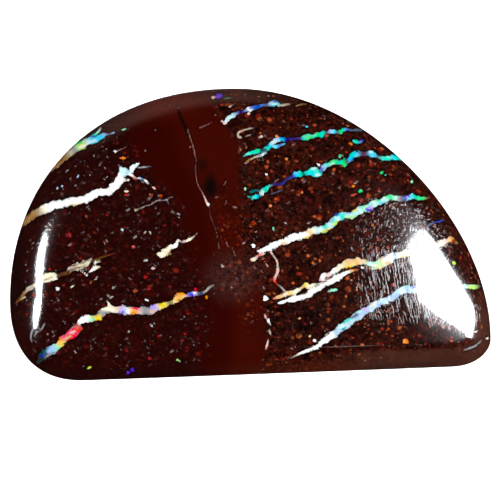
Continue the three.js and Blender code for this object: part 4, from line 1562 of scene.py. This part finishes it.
def grain_layer(tree, vector, grain):
    """Grains of one kind: a spot in some of the cells of a stretched cell pattern.

    Strong grains are larger. Returns the spot's mask, a random tone and the grain's strength.
    """
    distance, chance = cells(tree, stretched(tree, vector, grain["turn"], grain["cells"]), 1.0)
    strength = calc(tree, "POWER", chance["Blue"], grain["rarity"])
    spread = calc(tree, "DIVIDE", distance, remap(tree, strength, WHOLE, SPOT_SIZES, False))
    spot = remap(tree, spread, (grain["radius"], grain["radius"] * grain["core"]), WHOLE)
    empty = 1.0 - grain["share"]
    chosen = remap(tree, chance["Red"], (empty, empty + SPOT_CUTOFF), WHOLE)
    return calc(tree, "MULTIPLY", spot, chosen), chance["Green"], strength


def ironstone_group(palette):
    """Ironstone: blotched ground with red and dusty patches, glowing grains and pale slivers."""
    tree, given, result = new_group(
        "Ironstone",
        (("Millimetres", "Vector"), ("Ground", "Color"), ("Flecks", "Float"), ("Warmth", "Float")),
        (("Colour", "Color"),),
    )
    vector = given["Millimetres"]
    ragged = warped(tree, vector, *GRAIN_WARP)
    uneven = calc(tree, "MULTIPLY", cloud(tree, vector, BLOTCHES), cloud(tree, vector, MOTTLING))
    mottled = calc(tree, "MULTIPLY", given["Flecks"], remap(tree, given["Warmth"], WHOLE, MOTTLED_SIDES))
    ground = reckon(tree, "SCALE", given["Ground"], scale=mix_value(tree, mottled, 1.0, uneven))
    for colour, kind in (("red_patch", RED_PATCHES), ("dust", DUST_PATCHES)):
        patch = calc(tree, "MULTIPLY", cloud(tree, ragged, kind), given["Flecks"])
        ground = mix_colour(tree, patch, ground, (*palette[colour], 1.0))

    held = calc(tree, "MULTIPLY", cloud(tree, vector, CLUMPS), given["Flecks"])
    for grain in GRAINS:
        mask, tone, strength = grain_layer(tree, ragged, grain)
        warm = colour_steps(tree, tone, [(p, palette[c]) for p, c in grain["warm"]])
        cool = colour_steps(tree, tone, [(p, palette[c]) for p, c in grain["cool"]])
        colour = mix_colour(tree, given["Warmth"], cool, warm)
        often = mix_value(tree, given["Warmth"], *grain["strength"])
        vivid = calc(tree, "MULTIPLY", strength, often)
        mask = calc(tree, "MULTIPLY", calc(tree, "MULTIPLY", mask, vivid), held)
        ground = mix_colour(tree, mask, ground, colour)
    tree.links.new(ground, result["Colour"])
    return tree


def opal_group():
    """Opal in a seam: a ragged edge about the gap, a shadow beside it, and patches of play of colour inside.

    The edge is the stored gap, moved by noise. A patch moves the seam's own colour a little.
    """
    tree, given, result = new_group(
        "Opal seam",
        (("Millimetres", "Vector"), ("Gap", "Float"), ("Size", "Float"), ("Colour", "Color")),
        (("Colour", "Color"), ("Mask", "Float"), ("Shadow", "Float")),
    )
    vector = given["Millimetres"]
    shard = calc(tree, "SUBTRACT", cells(tree, vector, SHARD_SCALE)[1]["Red"], 0.5)
    jag = calc(tree, "MULTIPLY_ADD", shard, SHARD_WEIGHT, centred_noise(tree, vector, *EDGE_RIPPLE))
    frayed = remap(tree, given["Size"], *FRAY_BY_SIZE)
    jag = calc(tree, "MULTIPLY_ADD", centred_noise(tree, vector, *EDGE_FRAY), frayed, jag)
    wander = remap(tree, given["Size"], *WANDER_BY_SIZE, False)
    edge = calc(tree, "MULTIPLY_ADD", jag, wander, given["Gap"])
    mask = remap(tree, edge, (EDGE_SOFTNESS, -EDGE_SOFTNESS), WHOLE)

    chance = cells(tree, warped(tree, vector, *FIRE_WARP), FIRE_SCALE)[1]
    hue = remap(tree, chance["Red"], WHOLE, FIRE_HUE, False)
    patch = remap(tree, chance["Green"], WHOLE, FIRE_VALUE, False)
    saturation = remap(tree, chance["Blue"], WHOLE, FIRE_SATURATION, False)
    inner = remap(tree, calc(tree, "DIVIDE", edge, given["Size"]), EDGE_DIMMING_DEPTH, EDGE_DIMMING)
    value = calc(tree, "MULTIPLY", calc(tree, "MULTIPLY", patch, cloud(tree, vector, FIRE_STREAKS)), inner)
    shifted = place(
        tree,
        "HueSaturation",
        {"Hue": hue, "Saturation": saturation, "Value": value, "Color": given["Colour"]},
    )
    shadow = remap(tree, edge, (SHADOW_REACH, 0.0), WHOLE)
    weight = remap(tree, given["Size"], *SHADOW_BY_SIZE)
    tree.links.new(shifted.outputs["Color"], result["Colour"])
    tree.links.new(mask, result["Mask"])
    tree.links.new(calc(tree, "MULTIPLY", shadow, weight), result["Shadow"])
    return tree


def polish_group():
    """Polishing marks: the heights of fine scratches that run one way, or curl where the polish swirled.

    A straight scratch is a peak of noise squeezed across its run. A curl follows a contour of noise.
    """
    tree, given, result = new_group(
        "Polishing marks",
        (("Millimetres", "Vector"), ("Swirl", "Float")),
        (("Height", "Float"),),
    )
    vector = given["Millimetres"]
    straight = 0.0
    for turn, across, along, depth in POLISH_PASSES:
        squeezed = stretched(tree, vector, turn, (across, along, along))
        lines = noise(tree, squeezed, *SCRATCH_NOISE).outputs["Fac"]
        straight = calc(tree, "ADD", straight, remap(tree, lines, SCRATCH_RANGE, (0.0, depth)))
    curls = 0.0
    for scale in CURL_SCALES:
        off_contour = calc(tree, "ABSOLUTE", centred_noise(tree, vector, scale, *CURL_NOISE))
        curl = remap(tree, off_contour, (CURL_WIDTH, 0.0), (0.0, CURL_DEPTH))
        curls = calc(tree, "MAXIMUM", curls, curl)
    curls = calc(tree, "MULTIPLY", curls, cloud(tree, vector, CURL_BREAKS))
    tree.links.new(mix_value(tree, given["Swirl"], straight, curls), result["Height"])
    return tree


def stone_inputs(tree):
    """The millimetre coordinates and the stored patterns that both finishes read."""
    position = place(tree, "TexCoord").outputs["Object"]
    vector = reckon(tree, "SCALE", position, scale=1.0 / MM)
    stored = {name: place(tree, "Attribute", attribute_name=name) for name in STORED_PATTERNS}
    return vector, stored


def rock_and_opal(tree, vector, stored, groups):
    """The ironstone's colour, darkened beside the seams, with the opal laid in."""
    rock = place(tree, "Group", node_tree=groups["ironstone"])
    opal = place(tree, "Group", node_tree=groups["opal"])
    for made, names in ((rock, ROCK_INPUTS), (opal, OPAL_INPUTS)):
        tree.links.new(vector, made.inputs["Millimetres"])
        for socket_name, (attribute, output) in names.items():
            tree.links.new(stored[attribute].outputs[output], made.inputs[socket_name])
    light = remap(tree, opal.outputs["Shadow"], WHOLE, (1.0, SHADOW_LIGHT), False)
    shaded = reckon(tree, "SCALE", rock.outputs["Colour"], scale=light)
    return mix_colour(tree, opal.outputs["Mask"], shaded, opal.outputs["Colour"])


def new_material(name):
    """A material with an empty node tree, and its shader."""
    material = bpy.data.materials.new(name)
    material.use_nodes = True
    tree = material.node_tree
    tree.nodes.clear()
    shader = place(tree, "BsdfPrincipled")
    output = place(tree, "OutputMaterial")
    tree.links.new(shader.outputs[0], output.inputs["Surface"])
    return material, tree, shader


def polished_face(groups):
    """The polished crown and wall: rock and opal under a finely scratched gloss and a softer sheen."""
    material, tree, shader = new_material("polished_boulder_opal")
    vector, stored = stone_inputs(tree)
    colour = rock_and_opal(tree, vector, stored, groups)
    tree.links.new(colour, shader.inputs["Base Color"])
    tree.links.new(cloud(tree, vector, GLOSS_SMEARS), shader.inputs["Roughness"])
    marks = place(tree, "Group", node_tree=groups["polish"])
    tree.links.new(vector, marks.inputs["Millimetres"])
    tree.links.new(stored["swirl"].outputs["Fac"], marks.inputs["Swirl"])
    bump = place(
        tree,
        "Bump",
        {
            "Strength": stored["wear"].outputs["Fac"],
            "Distance": SCRATCH_DEPTH * MM,
            "Height": marks.outputs["Height"],
        },
    )
    tree.links.new(bump.outputs["Normal"], shader.inputs["Normal"])
    shader.inputs["Coat Weight"].default_value = SHEEN_WEIGHT
    shader.inputs["Coat Roughness"].default_value = SHEEN_ROUGHNESS
    return material


def lapped_back(groups):
    """The flat back: the same rock and seams, ground to a satin finish and left duller."""
    material, tree, shader = new_material("lapped_back")
    vector, stored = stone_inputs(tree)
    colour = rock_and_opal(tree, vector, stored, groups)
    dulled = place(tree, "HueSaturation", {"Color": colour, **BACK_DULLING}).outputs["Color"]
    powdered = mix_colour(tree, cloud(tree, vector, BACK_CHALK), dulled, (*BACK_DUST, 1.0))
    tree.links.new(powdered, shader.inputs["Base Color"])
    tree.links.new(cloud(tree, vector, BACK_SATIN), shader.inputs["Roughness"])
    marks = place(tree, "Group", node_tree=groups["polish"])
    tree.links.new(vector, marks.inputs["Millimetres"])
    bump = place(
        tree,
        "Bump",
        {
            "Strength": BACK_SCRATCH_STRENGTH,
            "Distance": BACK_SCRATCH_DEPTH * MM,
            "Height": marks.outputs["Height"],
        },
    )
    tree.links.new(bump.outputs["Normal"], shader.inputs["Normal"])
    return material


class OPAL_OT_stone(bpy.types.Operator):
    """Make the polished stone with its opal seams"""

    bl_idname = "opal.stone"
    bl_label = "Make the stone"

    def execute(self, context):
        palette = palette_array(context.scene.opal_colours)
        mesh = stone_mesh(context.scene.opal_stone, palette)
        groups = {"ironstone": ironstone_group(palette), "opal": opal_group(), "polish": polish_group()}
        mesh.materials.append(polished_face(groups))
        mesh.materials.append(lapped_back(groups))
        stone = bpy.data.objects.new("boulder_opal_stone", mesh)
        context.scene.collection.objects.link(stone)
        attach(stone, "root")
        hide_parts(NODE)
        return {"FINISHED"}


def cut_corners(lamp, box):
    """Darkens a soft box beyond each of its cuts, which are straight lines across its face.

    A place on the face is its parametric place, from 0 to 1 each way, less one half, times the face's sizes.
    """
    lamp.use_nodes = True
    tree = lamp.node_tree
    tree.nodes.clear()
    centred = reckon(tree, "SUBTRACT", place(tree, "NewGeometry").outputs["Parametric"], (0.5, 0.5, 0.0))
    face = reckon(tree, "MULTIPLY", centred, (box["width"], box["height"], 0.0))
    lit = 1.0
    for heading, distance in box["cuts"]:
        outward = (math.cos(math.radians(heading)), math.sin(math.radians(heading)), 0.0)
        reach = reckon(tree, "DOT_PRODUCT", face, outward, output="Value")
        inside = remap(tree, reach, (distance + CUT_SOFTNESS, distance - CUT_SOFTNESS), WHOLE)
        lit = calc(tree, "MULTIPLY", lit, inside)
    emission = place(tree, "Emission", {"Strength": lit})
    output = place(tree, "OutputLight")
    tree.links.new(emission.outputs[0], output.inputs["Surface"])


def soft_box(context, name, box, distance, radiance):
    """An area lamp at an elevation and an azimuth from the point it is aimed at, rolled about its axis."""
    elevation = math.radians(box["elevation"])
    azimuth = math.radians(box["azimuth"])
    lamp = bpy.data.lights.new(name, "AREA")
    lamp.shape = box["shape"]
    lamp.color = LAMP_COLOUR
    lamp.size = box["width"] * MM
    lamp.size_y = box["height"] * MM
    lamp.energy = radiance * lamp.size * lamp.size_y * LAMP_WATTS_PER_RADIANCE
    if box["cuts"]:
        cut_corners(lamp, box)
    lamp_object = bpy.data.objects.new(name, lamp)
    flat = math.cos(elevation)
    direction = Vector((flat * math.cos(azimuth), flat * math.sin(azimuth), math.sin(elevation)))
    lamp_object.location = Vector(box["aim"]) * MM + direction * distance
    lamp_object.rotation_mode = "QUATERNION"
    facing = (-direction).to_track_quat("-Z", "Y")
    lamp_object.rotation_quaternion = facing @ Quaternion((0.0, 0.0, 1.0), math.radians(box["roll"]))
    lamp_object.visible_camera = False
    context.scene.collection.objects.link(lamp_object)


def pale_floor(context, settings):
    """A plain square floor under the stone, which the gloss does not mirror."""
    half = settings.floor_size / 2
    corners = ((-half, -half), (half, -half), (half, half), (-half, half))
    mesh = bpy.data.meshes.new("floor")
    mesh.from_pydata([(x, y, -FLOOR_GAP * MM) for x, y in corners], [], [(0, 1, 2, 3)])
    material, _, shader = new_material("pale_floor")
    shader.inputs["Base Color"].default_value = (*srgb_to_linear(settings.floor_colour), 1.0)
    shader.inputs["Roughness"].default_value = FLOOR_ROUGHNESS
    shader.inputs["Emission Color"].default_value = WHITE_LIGHT
    shader.inputs["Emission Strength"].default_value = settings.floor_glow
    mesh.materials.append(material)
    floor = bpy.data.objects.new("floor", mesh)
    floor.visible_glossy = False
    context.scene.collection.objects.link(floor)


def studio_world(scene):
    """A dark room with a dim wall beyond the arch for the gloss, and a pale backdrop for the camera.

    The wall's light depends on how high a ray heads and on its level heading.
    """
    world = bpy.data.worlds.new("studio")
    world.use_nodes = True
    tree = world.node_tree
    tree.nodes.clear()
    heading = place(tree, "TexCoord").outputs["Generated"]
    up = place(tree, "SeparateXYZ", {"Vector": heading}).outputs["Z"]
    above = remap(tree, up, WALL_FADE_UP, (1.0, 0.0))
    below = remap(tree, up, WALL_FADE_DOWN, (WALL_FOOT, 1.0))
    level = reckon(tree, "NORMALIZE", reckon(tree, "MULTIPLY", heading, (1.0, 1.0, 0.0)))
    beyond = reckon(tree, "DOT_PRODUCT", level, WALL_HEADING, output="Value")
    far_wall = calc(tree, "MULTIPLY", above, remap(tree, beyond, WALL_FADE_BEYOND, WHOLE))
    far_wall = calc(tree, "MULTIPLY", far_wall, below)
    room = remap(tree, far_wall, WHOLE, ROOM_BRIGHTNESS, False)
    seen = place(tree, "LightPath").outputs["Is Camera Ray"]
    strength = mix_value(tree, seen, room, BACKDROP_BRIGHTNESS)
    tint = mix_colour(tree, seen, WALL_COLOUR, WHITE_LIGHT)
    background = place(tree, "Background", {"Color": tint, "Strength": strength})
    output = place(tree, "OutputWorld")
    tree.links.new(background.outputs[0], output.inputs["Surface"])
    scene.world = world


def overhead_camera(scene, settings):
    """A camera straight above the stone, with the picture's width set at the girdle."""
    camera = bpy.data.cameras.new("camera")
    camera.lens = settings.lens
    distance = settings.picture_width * camera.lens / camera.sensor_width
    camera.clip_start = distance * CLIP_SHARES[0]
    camera.clip_end = distance * CLIP_SHARES[1]
    camera_object = bpy.data.objects.new("camera", camera)
    camera_object.location = Vector((*VIEW_MIDDLE, GIRDLE_HEIGHT)) * MM + Vector((0.0, 0.0, distance))
    scene.collection.objects.link(camera_object)
    scene.camera = camera_object


class OPAL_OT_stage(bpy.types.Operator):
    """Make the floor, the lights and the camera"""

    bl_idname = "opal.stage"
    bl_label = "Make the stage"

    def execute(self, context):
        settings = context.scene.opal_stage
        pale_floor(context, settings)
        soft_box(context, "left_soft_box", LEFT_BOX, settings.light_distance, settings.left_light)
        soft_box(context, "right_soft_box", RIGHT_BOX, settings.light_distance, settings.right_light)
        studio_world(context.scene)
        overhead_camera(context.scene, settings)
        context.scene.view_settings.view_transform = "Standard"
        return {"FINISHED"}


class OPAL_PT_panel(bpy.types.Panel):
    """Sizes, colours and makers of the boulder opal"""

    bl_label = "Boulder Opal"
    bl_idname = "OPAL_PT_panel"
    bl_space_type = "VIEW_3D"
    bl_region_type = "UI"
    bl_category = "Boulder Opal"

    def draw(self, context):
        for group in (context.scene.opal_stone, context.scene.opal_colours, context.scene.opal_stage):
            box = self.layout.box()
            for name in type(group).__annotations__:
                box.prop(group, name)
        for operator in (OPAL_OT_stone, OPAL_OT_stage):
            self.layout.operator(operator.bl_idname)


CLASSES = (OpalColours, StoneSizes, StageSettings, OPAL_OT_stone, OPAL_OT_stage, OPAL_PT_panel)
SETTINGS = {"opal_colours": OpalColours, "opal_stone": StoneSizes, "opal_stage": StageSettings}


def register():
    """Registers the classes and hangs the settings on the scene."""
    for entry in CLASSES:
        bpy.utils.register_class(entry)
    for name, group in SETTINGS.items():
        setattr(bpy.types.Scene, name, PointerProperty(type=group))


def unregister():
    """Takes the settings and the classes away again."""
    for name in SETTINGS:
        delattr(bpy.types.Scene, name)
    for entry in reversed(CLASSES):
        bpy.utils.unregister_class(entry)


def main():
    """Makes the stone and its stage."""
    register()
    bpy.ops.opal.stone()
    bpy.ops.opal.stage()


if __name__ == "__main__":
    main()
